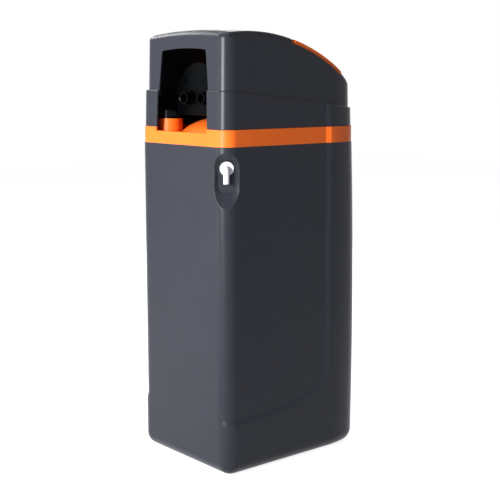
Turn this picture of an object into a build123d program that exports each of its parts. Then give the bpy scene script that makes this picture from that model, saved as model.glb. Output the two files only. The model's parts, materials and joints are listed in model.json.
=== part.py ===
from build123d import *
import math
import os

# Cabinet: the salt and brine tank that carries everything else
cabinet_width = 380.0
cabinet_depth = 500.0
cabinet_height = 843.4
cabinet_wall = 5.0
rear_corner_radius = 36.0
shoulder_radius = 260.0
shoulder_turn = 14.0
front_corner_radius = 70.0
front_bow_radius = 700.0
lean_radius = 11800.0
lean_peak = 280.0
base_fillet = 34.0
base_inner_fillet = 24.0
rim_chamfer = 1.2

# Recessed panel in each side: it runs out round the rear corner
panel_step = 5.6
panel_bevel = 14.0
panel_base = 149.0
panel_flat = 70.0
panel_sweep_radius = 733.0
panel_sweep_turn = 18.8
panel_corner_radius = 52.0

# Slanted pocket in the rear corner for the overflow elbow
pocket_depth = 24.0
pocket_floor_width = 44.0
pocket_floor_height = 78.0
pocket_floor_corner = 14.0
pocket_middle = 769.5
pocket_slump = 10.0
pocket_draft = 50.0
pocket_rim_radius = 2.5

# Deck: the orange tray whose rim is the coloured band
band_height = 42.0
band_inset = 1.4
deck_plate = 4.0
deck_plate_drop = 12.5
deck_lip_depth = 5.0
deck_lip_gap = 0.8
deck_lip_wall = 3.0
notch_depth = 10.0
dome_gap = 11.5
dome_rise = 8.0
dome_skin = 3.0
neck_hole_gap = 9.0
chute_width = 260.0
chute_length = 150.0
chute_front = 205.0
chute_corner = 24.0
chute_rim = 22.0
chute_wall = 3.0
collar_gap = 0.7
collar_height = 33.0
collar_wall = 2.8

# Cover ring: the collar between the deck and the hood
ring_inset = 3.4
ring_wall = 4.0
ring_edge = 2.6
shell_draft = 1.45
split_height = 981.9
split_slope = 6.1
shelf_drop = 8.0
shelf_width = 6.0
shelf_thickness = 3.0
tab_length = 26.0
tab_reach = 25.0
tab_gap = 0.6
tab_rise = 4.0
tab_rear = 60.0
tab_front = -120.0

# Hood: the lift-off cover with the rear opening
hood_gap = 0.7
hood_wall = 3.5
hood_corner_radius = 30.0
nose_drop = 151.5
nose_land = 60.8
barrel_setback = 103.0
barrel_rear_turn = -45.0
barrel_front_turn = 75.0
crown_radius = 1550.0
total_height = 1135.0
raised_height = 10.5
nose_fillet = 15.0

# Rear opening through the ring and the hood
opening_half_low = 108.0
opening_half_mid = 104.5
opening_half_top = 93.0
opening_side_drop = 54.0
opening_crown_drop = 49.0
opening_corner = 8.0
opening_reach = 34.0

# Raised dark panel on the hood's top
panel_side_gap = 3.0
panel_rear_gap = 17.0
strip_setback = 30.0
strip_drop = 4.0
panel_skin = 3.0
panel_edge = 5.0

# Salt lid and its hinge
lid_hinge_reach = 243.5
lid_hinge_drop = 7.0
lid_back = 3.0
lid_gap = 8.7
lid_clearance = 0.5
lid_front_gap = 1.0
lid_skin = 3.0
lid_edge = 5.0
knuckle_radius = 4.2
knuckle_span = 30.0
knuckle_place = 85.0
lug_width = 8.0
lug_gap = 0.75
lug_reach = 3.8
hinge_pin_radius = 2.0
gutter_radius = 8.4
running_gap = 0.05
salt_mouth_width = 270.0
salt_mouth_rear = 264.0
salt_mouth_front = 396.0
salt_mouth_corner = 22.0

# Controller in the top panel
control_width = 156.0
control_length = 78.0
control_setback = 112.0
control_corner = 10.0
control_drop = 4.6
control_plate = 3.0
control_gap = 0.4
control_box_depth = 26.0
control_box_wall = 2.0
control_box_inset = 5.0
window_width = 84.0
window_length = 36.0
window_thickness = 2.0
window_shift = 14.0
display_thickness = 4.0
display_border = 3.0
board_thickness = 1.6
board_margin = 1.0
board_drop = 6.0
button_radius = 6.0
button_pitch = 24.0
button_proud = 0.8
button_travel = 1.0
button_gap = 0.3
button_skirt = 1.2
button_skirt_height = 1.4
switch_gap = 0.3
button_row_shift = 22.0
button_count = 4

# Pressure vessel: a ten inch fibre-wound tank on its boot
tank_setback = 170.0
tank_radius = 128.5
tank_wall = 4.0
tank_floor_gap = 7.0
tank_dome_height = 55.0
tank_shoulder = 850.0
neck_radius = 38.0
neck_bore_radius = 31.0
neck_top = 918.0
tank_base_height = 45.0
boot_wall = 3.0
boot_height = 75.0
resin_level = 600.0
riser_radius = 13.35
riser_bore_radius = 10.5
basket_radius = 25.0
basket_height = 70.0
basket_lift = 1.0
basket_wall = 2.5
basket_slot_width = 2.0
basket_slot_count = 12
top_basket_radius = 24.0
top_basket_height = 50.0
fit_gap = 0.15

# Control valve: a rotary disc valve with rear ports
port_height = 961.0
port_half_spacing = 36.0
port_radius = 16.6
port_bore_radius = 12.5
port_body_radius = 17.4
port_groove_radius = 15.0
port_groove_length = 5.0
port_spigot_length = 10.0
collar_ring_radius = 19.5
collar_ring_length = 6.0
adapter_radius = 52.0
adapter_base = 914.0
adapter_top = 932.0
valve_half_width = 50.0
valve_half_length = 48.0
valve_top = 990.0
chamber_radius = 37.0
chamber_depth = 14.0
bonnet_radius = 44.0
bonnet_height = 5.0
disc_radius = 33.0
fixed_disc_height = 6.0
rotor_disc_height = 6.0
rotor_disc_radius = 30.0
stem_radius = 6.0
disc_port_radius = 6.0
disc_port_ring = 18.0
seal_section = 1.5
gear_height = 8.0
gear_lift = 7.0
gear_module = 1.5
gear_teeth = 48
pinion_teeth = 12
tooth_backlash = 0.25
pressure_angle = 20.0
gear_plate_thickness = 3.0
gear_plate_half_width = 52.0
gear_plate_gap = 1.5
motor_radius = 17.0
motor_height = 19.0
motor_shaft_radius = 2.5
post_radius = 4.0
injector_radius = 7.0
injector_length = 34.0
injector_height = 952.0
injector_cap_radius = 11.0
injector_cap_length = 9.0
brine_port_setback = 142.0
brine_line_height = 945.0
brine_tube_radius = 4.75
brine_tube_bore = 3.2
brine_bend_radius = 22.0
fitting_radius = 8.5
fitting_length = 20.0
drain_height = 980.0
drain_stub_radius = 8.0
drain_barb_radius = 6.5
drain_barb_length = 10.0
drain_pipe_radius = 5.9
drain_bore_radius = 4.5
drain_offset = 70.0
drain_setback = 138.0
drain_clip_thickness = 2.0
drain_clip_width = 20.0

# Valve casing: round-topped back plate and cover
case_half_width = 95.0
case_centre_height = 957.0
case_base = 916.0
case_setback = 60.0
case_length = 186.0
case_wall = 3.0
rear_plate_thickness = 4.0
port_hole_gap = 1.0
case_screw_spread = 76.0
inlet_socket_radius = 5.5
inlet_socket_length = 14.0
inlet_socket_x = 58.0
inlet_socket_height = 1006.0
drive_board_width = 90.0
drive_board_height = 38.0
drive_board_setback = 8.0
drive_board_gap = 6.0

# Meter in the outlet port
turbine_radius = 11.0
turbine_length = 12.0
turbine_hub_radius = 3.5
turbine_blades = 6
turbine_blade_thickness = 1.2
turbine_pin_radius = 1.5
turbine_setback = 18.0
straightener_length = 8.0
straightener_vane = 1.2

# Brine well and its float
well_side_inset = 61.0
well_lift = 0.4
well_rear_inset = 62.5
well_radius = 30.0
well_wall = 2.5
well_slot_width = 4.0
well_slot_height = 60.0
well_slot_count = 8
cap_top = 930.0
cap_wall = 2.6
rod_radius = 3.0
guide_thickness = 4.0
guide_top = 700.0
guide_bottom = 340.0
float_radius = 22.0
float_play = 0.5
rod_shift = 14.0
float_length = 70.0
float_base = 420.0
rod_top = 780.0
rod_bottom = 300.0
air_check_radius = 7.5
air_check_height = 90.0
air_check_base = 20.0
pickup_radius = 5.0

# Salt grid on its legs
grid_height = 150.0
grid_thickness = 5.0
grid_gap = 4.0
grid_hole_radius = 7.0
grid_hole_pitch = 26.0
grid_leg_radius = 14.0
grid_leg_wall = 2.5

# Overflow elbow through the pocket's floor
elbow_height = 790.0
elbow_flange_radius = 17.5
elbow_flange_thickness = 3.5
elbow_stub_radius = 7.7
elbow_bore_radius = 5.2
elbow_reach = 13.0
elbow_drop = 37.0
elbow_tail = 22.0
elbow_gap = 0.3
gasket_radius = 15.0
gasket_thickness = 2.0
nut_radius = 14.0
nut_thickness = 8.0

# Screws
screw_radius = 2.2
screw_head_radius = 4.6
screw_head_height = 3.0
screw_length = 24.0

# One overrun serves every cut
overrun = 30.0

half_width = cabinet_width / 2
half_depth = cabinet_depth / 2
well_x = half_width - well_side_inset
well_y = half_depth - well_rear_inset
case_rear = half_depth - case_setback
case_front = case_rear - case_length
port_shoulder = case_rear + collar_ring_length
port_end = port_shoulder + port_groove_length + port_spigot_length
turbine_place = case_rear - turbine_setback
control_top = total_height - control_drop
opening_side_top = total_height - opening_side_drop
opening_crown_top = total_height - opening_crown_drop


def on_circle(centre, radius, degrees):
    """Point on a circle, by its angle."""
    turn = math.radians(degrees)
    return (centre[0] + radius * math.cos(turn), centre[1] + radius * math.sin(turn))


def lean(height):
    """How far the cabinet's front draws in at a height."""
    return lean_radius - math.sqrt(lean_radius**2 - (height - lean_peak)**2)


def crown_drop(x):
    """How far the crowned top falls at a distance from the middle."""
    return crown_radius - math.sqrt(crown_radius**2 - x**2)


def plan(side_inset, rear_inset, front_inset, corner=None):
    """Outline seen from above: square rear, shoulders, round front corners and a bowed front."""
    half = half_width - side_inset
    rear = half_depth - rear_inset
    front = front_inset - half_depth
    corner = corner if corner else rear_corner_radius - rear_inset
    shoulder = shoulder_radius - side_inset
    front_corner = front_corner_radius - side_inset
    bow = front_bow_radius - side_inset
    turn = math.radians(shoulder_turn)
    run = half - shoulder * (1 - math.cos(turn)) - front_corner * math.cos(turn)
    bow_turn = math.degrees(math.asin(run / (bow - front_corner)))
    bow_centre = (0, front + bow)
    corner_centre = on_circle(bow_centre, bow - front_corner, bow_turn - 90)
    shoulder_centre = on_circle(corner_centre, front_corner - shoulder, -shoulder_turn)
    rear_centre = (half - corner, rear - corner)
    bow_end = on_circle(bow_centre, bow, bow_turn - 90)
    corner_mid = on_circle(corner_centre, front_corner, (bow_turn - 90 - shoulder_turn) / 2)
    corner_end = on_circle(corner_centre, front_corner, -shoulder_turn)
    shoulder_mid = on_circle(shoulder_centre, shoulder, -shoulder_turn / 2)
    shoulder_end = (half, shoulder_centre[1])
    rear_start = (half, rear - corner)
    rear_mid = on_circle(rear_centre, corner, 45)
    rear_end = (half - corner, rear)
    right = [corner_mid, corner_end, shoulder_mid, shoulder_end, rear_start, rear_mid, rear_end]
    left = [(-x, y) for x, y in reversed(right)]
    left_bow_end = (-bow_end[0], bow_end[1])
    edges = [
        ThreePointArc(left_bow_end, (0, front), bow_end),
        ThreePointArc(bow_end, right[0], right[1]),
        ThreePointArc(right[1], right[2], right[3]),
        Line(right[3], right[4]),
        ThreePointArc(right[4], right[5], right[6]),
        Line(right[6], left[0]),
        ThreePointArc(left[0], left[1], left[2]),
        Line(left[2], left[3]),
        ThreePointArc(left[3], left[4], left[5]),
        ThreePointArc(left[5], left[6], left_bow_end),
    ]
    return make_face(edges)


def prism(face, low, high):
    """Upright extrusion of a plan between two heights."""
    return extrude(Pos(0, 0, low) * face, amount=high - low, dir=(0, 0, 1))


def tapered(face, low, high):
    """Upright extrusion that draws in by the moulding draft."""
    return extrude(Pos(0, 0, low) * face, amount=high - low, dir=(0, 0, 1), taper=shell_draft)


def rod(radius, start, end):
    """Round bar between two points."""
    line = Vector(*end) - Vector(*start)
    return Plane(origin=start, z_dir=line) * Cylinder(radius, line.length, align=low_align)


def lengthwise(radius, start, end, x, z):
    """Round bar along the depth, between two distances from the middle."""
    return rod(radius, (x, start, z), (x, end, z))


def block(low, high):
    """Box between two opposite corners."""
    size = [b - a for a, b in zip(low, high)]
    return Pos(*low) * Box(*size, align=(Align.MIN, Align.MIN, Align.MIN))


low_align = (Align.CENTER, Align.CENTER, Align.MIN)


def leaning_form(side_inset, rear_inset, front_inset, low, high):
    """Plan extruded upright, with the front's slight curve seen from the side."""
    axis_y = front_inset - half_depth + lean_radius
    axis = Axis((0, axis_y, lean_peak), (-1, 0, 0))
    low_turn = math.degrees(math.asin((low - overrun - lean_peak) / lean_radius))
    high_turn = math.degrees(math.asin((high + overrun - lean_peak) / lean_radius))
    profile = Pos(0, 0, lean_peak) * plan(side_inset, -2 * overrun, front_inset, overrun)
    swept = revolve(profile.rotate(axis, low_turn), axis, high_turn - low_turn)
    return prism(plan(side_inset, rear_inset, -overrun), low, high) & swept


flat_end = half_depth - panel_flat
sweep_centre = (flat_end, panel_base + panel_sweep_radius)
corner_centre = on_circle(sweep_centre, panel_sweep_radius - panel_corner_radius, -90 - panel_sweep_turn)
panel_front = corner_centre[0] - panel_corner_radius


def panel_outline(grow):
    """Outline of a side's recessed panel, seen from the side: rear, base, rising sweep, corner, front."""
    rear = half_depth + overrun
    sweep = panel_sweep_radius + grow
    corner = panel_corner_radius + grow
    base = panel_base - grow
    sweep_mid = on_circle(sweep_centre, sweep, -90 - panel_sweep_turn / 2)
    sweep_end = on_circle(sweep_centre, sweep, -90 - panel_sweep_turn)
    corner_mid = on_circle(corner_centre, corner, -135 - panel_sweep_turn / 2)
    front = corner_centre[0] - corner
    edges = [
        Line((rear, base), (flat_end, base)),
        ThreePointArc((flat_end, base), sweep_mid, sweep_end),
        ThreePointArc(sweep_end, corner_mid, (front, corner_centre[1])),
        Line((front, corner_centre[1]), (front, total_height)),
        Line((front, total_height), (rear, total_height)),
        Line((rear, total_height), (rear, base)),
    ]
    return make_face(edges)


def panel_cutters(side_inset):
    """Bevelled cutters for the recessed panels in both sides."""
    floor = half_width - side_inset - panel_step
    growth = panel_bevel * (panel_step + overrun) / panel_step
    inner = Plane.YZ.offset(floor) * panel_outline(0)
    outer = Plane.YZ.offset(floor + panel_step + overrun) * panel_outline(growth)
    cutter = loft([inner, outer], ruled=True)
    return [cutter, mirror(cutter, about=Plane.YZ)]


def rear_corners(low, high):
    """Blocks that hold both rear corners of the recessed plan, between two heights."""
    near = half_width - panel_step - rear_corner_radius
    right = block((near, half_depth - rear_corner_radius, low), (half_width, half_depth, high))
    return [right, mirror(right, about=Plane.YZ)]


def corner_plane(depth, height):
    """Upright plane across the rear corner that holds the elbow, facing outwards."""
    centre_x = panel_step + rear_corner_radius - half_width
    centre_y = half_depth - rear_corner_radius
    reach = (rear_corner_radius - depth) / math.sqrt(2)
    origin = (centre_x - reach, centre_y + reach, height)
    return Plane(origin=origin, x_dir=(-1, -1, 0), z_dir=(-1, 1, 0))


def pocket(skin):
    """Slanted pocket for the elbow, grown by a skin where it is seen from inside."""
    slope = math.radians(pocket_draft)
    rim = skin / math.cos(slope) - skin * math.tan(slope)
    depth = pocket_depth + skin
    growth = (depth + overrun) * math.tan(slope)
    place = corner_plane(depth, pocket_middle)
    width = pocket_floor_width + 2 * rim
    height = pocket_floor_height + 2 * rim
    corner = pocket_floor_corner + rim
    floor = RectangleRounded(width, height, corner)
    mouth = RectangleRounded(width + 2 * growth, height + 2 * growth, corner + growth)
    drop = pocket_slump * (depth + overrun) / pocket_depth
    return loft([place * floor, place.offset(depth + overrun) * Pos(0, -drop) * mouth], ruled=True)


def make_cabinet():
    """Hollow cabinet with its plinth, recessed sides and elbow pocket."""
    proud = leaning_form(0, 0, 0, 0, cabinet_height)
    proud = fillet(proud.edges().group_by(Axis.Z)[0], base_fillet)
    recessed = leaning_form(panel_step, 0, panel_step, overrun, cabinet_height)
    step_low = panel_base - panel_bevel
    step_plans = [Pos(0, 0, step_low) * plan(0, 0, 0), Pos(0, 0, panel_base) * plan(panel_step, 0, panel_step)]
    step = loft(step_plans, ruled=True)
    corners = rear_corners(step_low, cabinet_height)
    whole = proud - panel_cutters(0) - corners + recessed + [step & corner for corner in corners]
    outer = whole - pocket(0)
    skin = whole.faces()
    rim = []
    for edge in new_edges(whole, combined=outer):
        if min(face.distance_to(edge @ 0.5) for face in skin) < fit_gap / 2:
            rim.append(edge)
    outer = fillet(rim, pocket_rim_radius)
    outer = chamfer(outer.faces().sort_by(Axis.Z)[-1].outer_wire().edges(), rim_chamfer)
    inner_side = panel_step + cabinet_wall
    inner = leaning_form(inner_side, cabinet_wall, cabinet_wall, cabinet_wall, cabinet_height + overrun)
    inner = fillet(inner.edges().group_by(Axis.Z)[0], base_inner_fillet)
    inner = inner - pocket(cabinet_wall)
    elbow_plane = corner_plane(pocket_depth, elbow_height)
    hole = elbow_plane * Cylinder(elbow_stub_radius + elbow_gap, 2 * overrun)
    return outer - inner - hole


band_low = cabinet_height
band_high = cabinet_height + band_height
plate_high = band_high - deck_plate_drop
plate_low = plate_high - deck_plate
band_front = lean(band_low)
tank_y = half_depth - tank_setback
well_low = cabinet_wall + well_lift
well_high = cap_top - cap_wall
lip_side = panel_step + cabinet_wall + deck_lip_gap
lip_rear = cabinet_wall + deck_lip_gap
dome_radius = tank_radius + dome_gap
dome_height = tank_dome_height + dome_rise
chute_middle = chute_length / 2 - chute_front


def stepped(make, side_inset, rear_inset, front_inset):
    """A rim with the proud front section and the recessed sides of the cabinet."""
    proud = make(plan(side_inset, rear_inset, front_inset))
    recessed = make(plan(side_inset + panel_step, rear_inset, front_inset + panel_step))
    behind_panel = block((-half_width, panel_front, 0), (half_width, half_depth, total_height))
    return proud - panel_cutters(side_inset) - behind_panel + recessed


def dome_profile(radius, height, level):
    """Right half of an ellipse over a straight side, for a dome turned about the tank's axis."""
    oval = Pos(0, level) * Ellipse(radius, height)
    half = Pos(radius, level) * Rectangle(2 * radius, 4 * height)
    return Plane.XZ * (oval & half)


def dome(radius, height, level):
    """Solid of an elliptic dome about the tank's axis."""
    return Pos(0, tank_y, 0) * revolve(dome_profile(radius, height, level), Axis.Z)


def upright(radius, low, high, x=0.0, y=tank_y):
    """Upright cylinder, on the tank's axis unless placed elsewhere."""
    return Pos(x, y, low) * Cylinder(radius, high - low, align=low_align)


def tube(radius, bore, low, high, x=0.0, y=tank_y):
    """Upright tube, on the tank's axis unless placed elsewhere."""
    return upright(radius, low, high, x, y) - upright(bore, low - overrun, high + overrun, x, y)


def tab_places():
    """Where the cover ring is screwed to the deck: side and distance along it."""
    return [(side, y) for side in (-1, 1) for y in (tab_front, tab_rear)]


def screw_x():
    """How far the ring's screws stand from the middle."""
    return half_width - lip_side - tab_gap - tab_reach / 2


def chute(grow, low, high):
    """Round-cornered shaft of the deck's salt chute."""
    face = RectangleRounded(chute_width + 2 * grow, chute_length + 2 * grow, chute_corner + grow)
    return prism(Pos(0, chute_middle) * face, low, high)


def make_deck():
    """Orange tray: band, floor, lip, dome over the tank's shoulder, chute and well collar."""
    band = stepped(
        lambda face: prism(face, band_low, band_high),
        band_inset, band_inset, band_front + band_inset,
    )
    band = chamfer(band.faces().sort_by(Axis.Z)[-1].outer_wire().edges(), rim_chamfer)
    lip_plan = plan(lip_side, lip_rear, band_front + lip_rear)
    inner_rear = lip_rear + deck_lip_wall
    lip_inner = plan(lip_side + deck_lip_wall, inner_rear, band_front + inner_rear)
    rim = band - prism(lip_plan, band_low - overrun, band_high + overrun)
    lip_low = band_low - deck_lip_depth
    lip = prism(lip_plan, lip_low, plate_high) - prism(lip_inner, lip_low - overrun, plate_low)
    inner_dome = dome(dome_radius - dome_skin, dome_height - dome_skin, tank_shoulder)
    skin = dome(dome_radius, dome_height, tank_shoulder) - inner_dome
    skin = skin & block((-half_width, -half_depth, plate_low), (half_width, half_depth, total_height))
    collar_bore = well_radius + collar_gap
    collar = upright(collar_bore + collar_wall, plate_low, plate_high + collar_height, well_x, well_y)
    funnel = chute(chute_wall, plate_low, plate_high + chute_rim)
    deck = rim + (lip - inner_dome) + skin + collar + funnel
    deck = deck - chute(0, plate_low - overrun, band_high + overrun)
    deck = deck - upright(collar_bore, plate_low - overrun, total_height, well_x, well_y)
    deck = deck - upright(neck_radius + neck_hole_gap, plate_low, total_height)
    deck = deck - block(
        (-opening_half_low, half_depth - lip_rear, band_high - notch_depth),
        (opening_half_low, half_depth + overrun, band_high + overrun),
    )
    for side, y in tab_places():
        deck = deck - upright(screw_radius + fit_gap, plate_low - overrun, plate_high, side * screw_x(), y)
    return deck


def split_plane(drop):
    """Sloping plane of the seam between the ring and the hood, lowered by a drop."""
    slope = math.radians(split_slope)
    origin = (0, half_depth, split_height - drop)
    return Plane(origin=origin, x_dir=(1, 0, 0), z_dir=(0, -math.sin(slope), math.cos(slope)))


def above_split(drop):
    """Everything above the sloping seam."""
    return split_plane(drop) * Box(2 * cabinet_width, 4 * half_depth, total_height, align=low_align)


def rear_opening():
    """Cutter of the plumbing opening in the rear of the ring and the hood."""
    points = [
        (-opening_half_low, band_high),
        (-opening_half_mid, split_height),
        (-opening_half_top, opening_side_top),
    ]
    mirrored = [(-x, z) for x, z in reversed(points)]
    low_left = (points[0][0], plate_high)
    low_right = (mirrored[-1][0], plate_high)
    edges = [
        Line(low_left, points[0]),
        Line(points[0], points[1]),
        Line(points[1], points[2]),
        ThreePointArc(points[2], (0, opening_crown_top), mirrored[0]),
        Line(mirrored[0], mirrored[1]),
        Line(mirrored[1], mirrored[2]),
        Line(mirrored[2], low_right),
        Line(low_right, low_left),
    ]
    face = make_face(edges)
    corners = face.vertices().group_by(Axis.Y)[-1]
    face = fillet(corners, opening_corner)
    place = Plane(origin=(0, half_depth + overrun, 0), x_dir=(-1, 0, 0), z_dir=(0, 1, 0))
    return extrude(place * face, amount=-(overrun + opening_reach))


ring_side = panel_step + ring_inset + ring_wall
ring_rear = ring_inset + ring_wall
hood_side = ring_side + hood_gap
hood_rear = ring_rear + hood_gap
hood_front = band_front + hood_rear
form_high = total_height + overrun


def ring_form(face):
    """Drafted column of the cover ring, with its base edge chamfered."""
    column = tapered(face, band_high, form_high)
    return chamfer(column.faces().sort_by(Axis.Z)[0].outer_wire().edges(), rim_chamfer)


def make_cover_ring():
    """Collar between the deck and the hood, open at the rear for the plumbing."""
    outer = stepped(ring_form, ring_inset, ring_inset, band_front + ring_inset)
    outer = outer - above_split(0)
    top = outer.faces().sort_by(Axis((0, 0, 0), split_plane(0).z_dir))[-1]
    outer = fillet(top.outer_wire().edges(), ring_edge)
    inner = tapered(plan(ring_side, ring_rear, band_front + ring_rear), band_high, form_high)
    shelf_hole = tapered(
        plan(ring_side + shelf_width, ring_rear + shelf_width, band_front + ring_rear + shelf_width),
        band_high, form_high,
    )
    shelf = (inner - shelf_hole) & (above_split(shelf_drop + shelf_thickness) - above_split(shelf_drop))
    ring = outer - inner + shelf
    tab_end = half_width - lip_side - tab_gap
    tab_high = band_high + tab_rise
    for side, y in tab_places():
        ends = sorted((side * tab_end, side * (tab_end - tab_reach)))
        half = tab_length / 2
        ring = ring + block((ends[0], y - half, plate_high), (ends[1], y + half, tab_high))
        ring = ring - upright(screw_radius + fit_gap, plate_high - overrun, tab_high, side * screw_x(), y)
    return ring - rear_opening()


def make_ring_screws():
    """Four pan-head screws through the ring's tabs and the deck."""
    head_low = band_high + tab_rise
    screws = []
    for side, y in tab_places():
        x = side * screw_x()
        shank = upright(screw_radius, head_low - screw_length, head_low, x, y)
        head = upright(screw_head_radius, head_low, head_low + screw_head_height, x, y)
        slot = block(
            (x - screw_head_radius, y - screw_radius / 4, head_low + screw_head_height / 2),
            (x + screw_head_radius, y + screw_radius / 4, head_low + overrun),
        )
        screws.append(shank + head - slot)
    return Compound(screws)


barrel_y = half_depth - barrel_setback
nose_reach = barrel_y + half_depth - hood_front
barrel_radius = (nose_reach**2 + nose_drop**2) / (2 * nose_drop)
barrel_core = barrel_radius / 3
nose_angle = math.degrees(math.asin((nose_reach - nose_land) / barrel_radius))
barrel_z = total_height - barrel_radius
ledge_radius = barrel_radius - raised_height
hinge_y = half_depth - lid_hinge_reach
hinge_z = barrel_z + math.sqrt(barrel_radius**2 - (barrel_y - hinge_y)**2) - lid_hinge_drop


def barrel(inner, outer, start, end):
    """Crowned drum section across the hood, between two angles from upright towards the front."""
    reach = half_width + overrun
    drop = crown_drop(reach)
    face = make_face([
        ThreePointArc((-reach, inner - drop), (0, inner), (reach, inner - drop)),
        Line((reach, inner - drop), (reach, outer - drop)),
        ThreePointArc((reach, outer - drop), (0, outer), (-reach, outer - drop)),
        Line((-reach, outer - drop), (-reach, inner - drop)),
    ])
    place = Plane(origin=(0, barrel_y, barrel_z), x_dir=(1, 0, 0), z_dir=(0, -1, 0))
    axis = Axis((0, barrel_y, barrel_z), (1, 0, 0))
    return revolve((place * face).rotate(axis, start), axis, end - start)


def hood_plan(side, rear, front, corner):
    """Tapered column of the hood's plan, drawn in by an inset on each side."""
    draft_run = (total_height - band_high) * math.tan(math.radians(shell_draft))
    face = plan(hood_side + side, hood_rear + rear, hood_front + front, corner + draft_run)
    return tapered(face, band_high, form_high)


def behind(y):
    """Everything behind an upright plane across the hood."""
    return block((-half_width, y, 0), (half_width, half_depth, form_high))


def salt_mouth(grow):
    """Round-cornered shaft of the salt opening under the lid."""
    length = salt_mouth_front - salt_mouth_rear
    middle = half_depth - (salt_mouth_front + salt_mouth_rear) / 2
    face = RectangleRounded(salt_mouth_width + 2 * grow, length + 2 * grow, salt_mouth_corner + grow)
    return prism(Pos(0, middle) * face, band_high, form_high)


def control_shaft(inset, low, high):
    """Round-cornered shaft of the controller, inset from its face plate."""
    face = RectangleRounded(control_width - 2 * inset, control_length - 2 * inset, control_corner - inset)
    return prism(Pos(0, half_depth - control_setback) * face, low, high)


def make_hood():
    """Lift-off cover: draft walls, ledge for the top panel and lid, raised nose, rear opening."""
    column = hood_plan(0, 0, 0, hood_corner_radius)
    form = column & barrel(barrel_core, barrel_radius, barrel_rear_turn, barrel_front_turn)
    rim = form.faces().sort_by(Axis.Z)[-1].outer_wire().edges()
    form = fillet(rim, nose_fillet)
    form = form & above_split(shelf_drop)
    ledge = barrel(ledge_radius, barrel_radius + overrun, barrel_rear_turn, nose_angle)
    above = barrel(barrel_radius - strip_drop, barrel_radius + overrun, barrel_rear_turn, nose_angle)
    form = form - (ledge - behind(half_depth - strip_setback)) - above
    hollow = hood_plan(hood_wall, hood_wall, hood_wall, hood_corner_radius - hood_wall)
    hollow = hollow & barrel(barrel_core, ledge_radius - hood_wall, barrel_rear_turn, barrel_front_turn)
    gutter_wall = hollow & gutter(gutter_radius + hood_wall)
    hood = form - hollow + gutter_wall - gutter(gutter_radius)
    for side in (-1, 1):
        hood = hood + hinge_lug(side * knuckle_place)
        hood = hood - hinge_pin(side * knuckle_place)
    hood = hood - salt_mouth(0)
    hood = hood - control_shaft(control_box_inset - control_gap, barrel_z, form_high)
    return hood - rear_opening()


def gutter(radius):
    """Round gutter under the lid's hinge, across the hood."""
    return rod(radius, (-half_width, hinge_y, hinge_z), (half_width, hinge_y, hinge_z))


def hinge_lug(x):
    """Lug on the hood's ledge that holds a hinge pin."""
    left = x - lug_width / 2
    right = x + lug_width / 2
    stem = block((left, hinge_y - lug_reach, hinge_z - raised_height), (right, hinge_y + lug_reach, hinge_z))
    return stem + rod(lug_reach, (left, hinge_y, hinge_z), (right, hinge_y, hinge_z))


def hinge_pin(x):
    """Pin through a lug and the lid's knuckles beside it."""
    half = knuckle_span / 2 - lug_gap
    return rod(hinge_pin_radius, (x - half, hinge_y, hinge_z), (x + half, hinge_y, hinge_z))


def make_hinge_pins():
    """Both pins of the salt lid."""
    return Compound([hinge_pin(-knuckle_place), hinge_pin(knuckle_place)])


def make_top_panel():
    """Raised dark panel on the hood's top, with the seat of the controller."""
    inset = panel_side_gap
    front = hinge_y + lid_back + lid_gap
    corner = hood_corner_radius - panel_rear_gap
    column = hood_plan(inset, panel_rear_gap, inset, corner)
    form = column & barrel(ledge_radius, barrel_radius, barrel_rear_turn, nose_angle) & behind(front)
    rim = form.faces().sort_by(Axis.Z)[-1].outer_wire().edges()
    form = fillet(rim, panel_edge)
    skin = panel_skin
    hollow = hood_plan(inset + skin, panel_rear_gap + skin, inset + skin, corner - skin)
    hollow = hollow & barrel(barrel_core, barrel_radius - skin, barrel_rear_turn, nose_angle)
    hollow = hollow & behind(front + skin)
    seat = control_top - control_plate
    hollow = hollow - control_shaft(-skin, barrel_z, form_high)
    panel = form - hollow
    panel = panel - control_shaft(-control_gap, seat, form_high)
    return panel - control_shaft(control_box_inset - control_gap, barrel_z, form_high)


def make_salt_lid():
    """Salt lid: a thin crowned tray with its rear knuckles."""
    inset = panel_side_gap
    end = nose_angle - math.degrees(lid_front_gap / barrel_radius)
    skin_end = nose_angle - math.degrees((lid_front_gap + lid_skin) / barrel_radius)
    column = hood_plan(inset, 0, 0, hood_corner_radius)
    form = column & barrel(ledge_radius + lid_clearance, barrel_radius, barrel_rear_turn, end)
    form = form - behind(hinge_y + lid_back)
    rim = form.faces().sort_by(Axis.Z)[-1].outer_wire().edges().sort_by(Axis.X)
    form = fillet([rim[0], rim[-1]], lid_edge)
    hollow = hood_plan(inset + lid_skin, 0, 0, hood_corner_radius)
    hollow = hollow & barrel(barrel_core, barrel_radius - lid_skin, barrel_rear_turn, skin_end)
    hollow = hollow - behind(hinge_y + lid_back - lid_skin)
    lid = form - hollow
    half = knuckle_span / 2
    for side in (-1, 1):
        x = side * knuckle_place
        lid = lid + rod(knuckle_radius, (x - half, hinge_y, hinge_z), (x + half, hinge_y, hinge_z))
        reach = hinge_pin_radius + running_gap
        lid = lid - rod(reach, (x - half, hinge_y, hinge_z), (x + half, hinge_y, hinge_z))
        slot = lug_width / 2 + lug_gap
        low = (x - slot, hinge_y - lug_reach - lug_gap, barrel_z)
        lid = lid - block(low, (x + slot, half_depth, form_high))
    return lid


control_y = half_depth - control_setback
seat_z = control_top - control_plate
board_z = seat_z - board_drop
window_y = control_y + window_shift
button_y = control_y - button_row_shift


def window_shaft(inset, low, high):
    """Shaft of the display window, inset from its lens."""
    size = (window_width - 2 * inset, window_length - 2 * inset)
    return prism(Pos(0, window_y) * Rectangle(*size), low, high)


def button_places():
    """Middle of each button, in a row in front of the window."""
    middle = (button_count - 1) / 2
    return [(index - middle) * button_pitch for index in range(button_count)]


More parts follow.
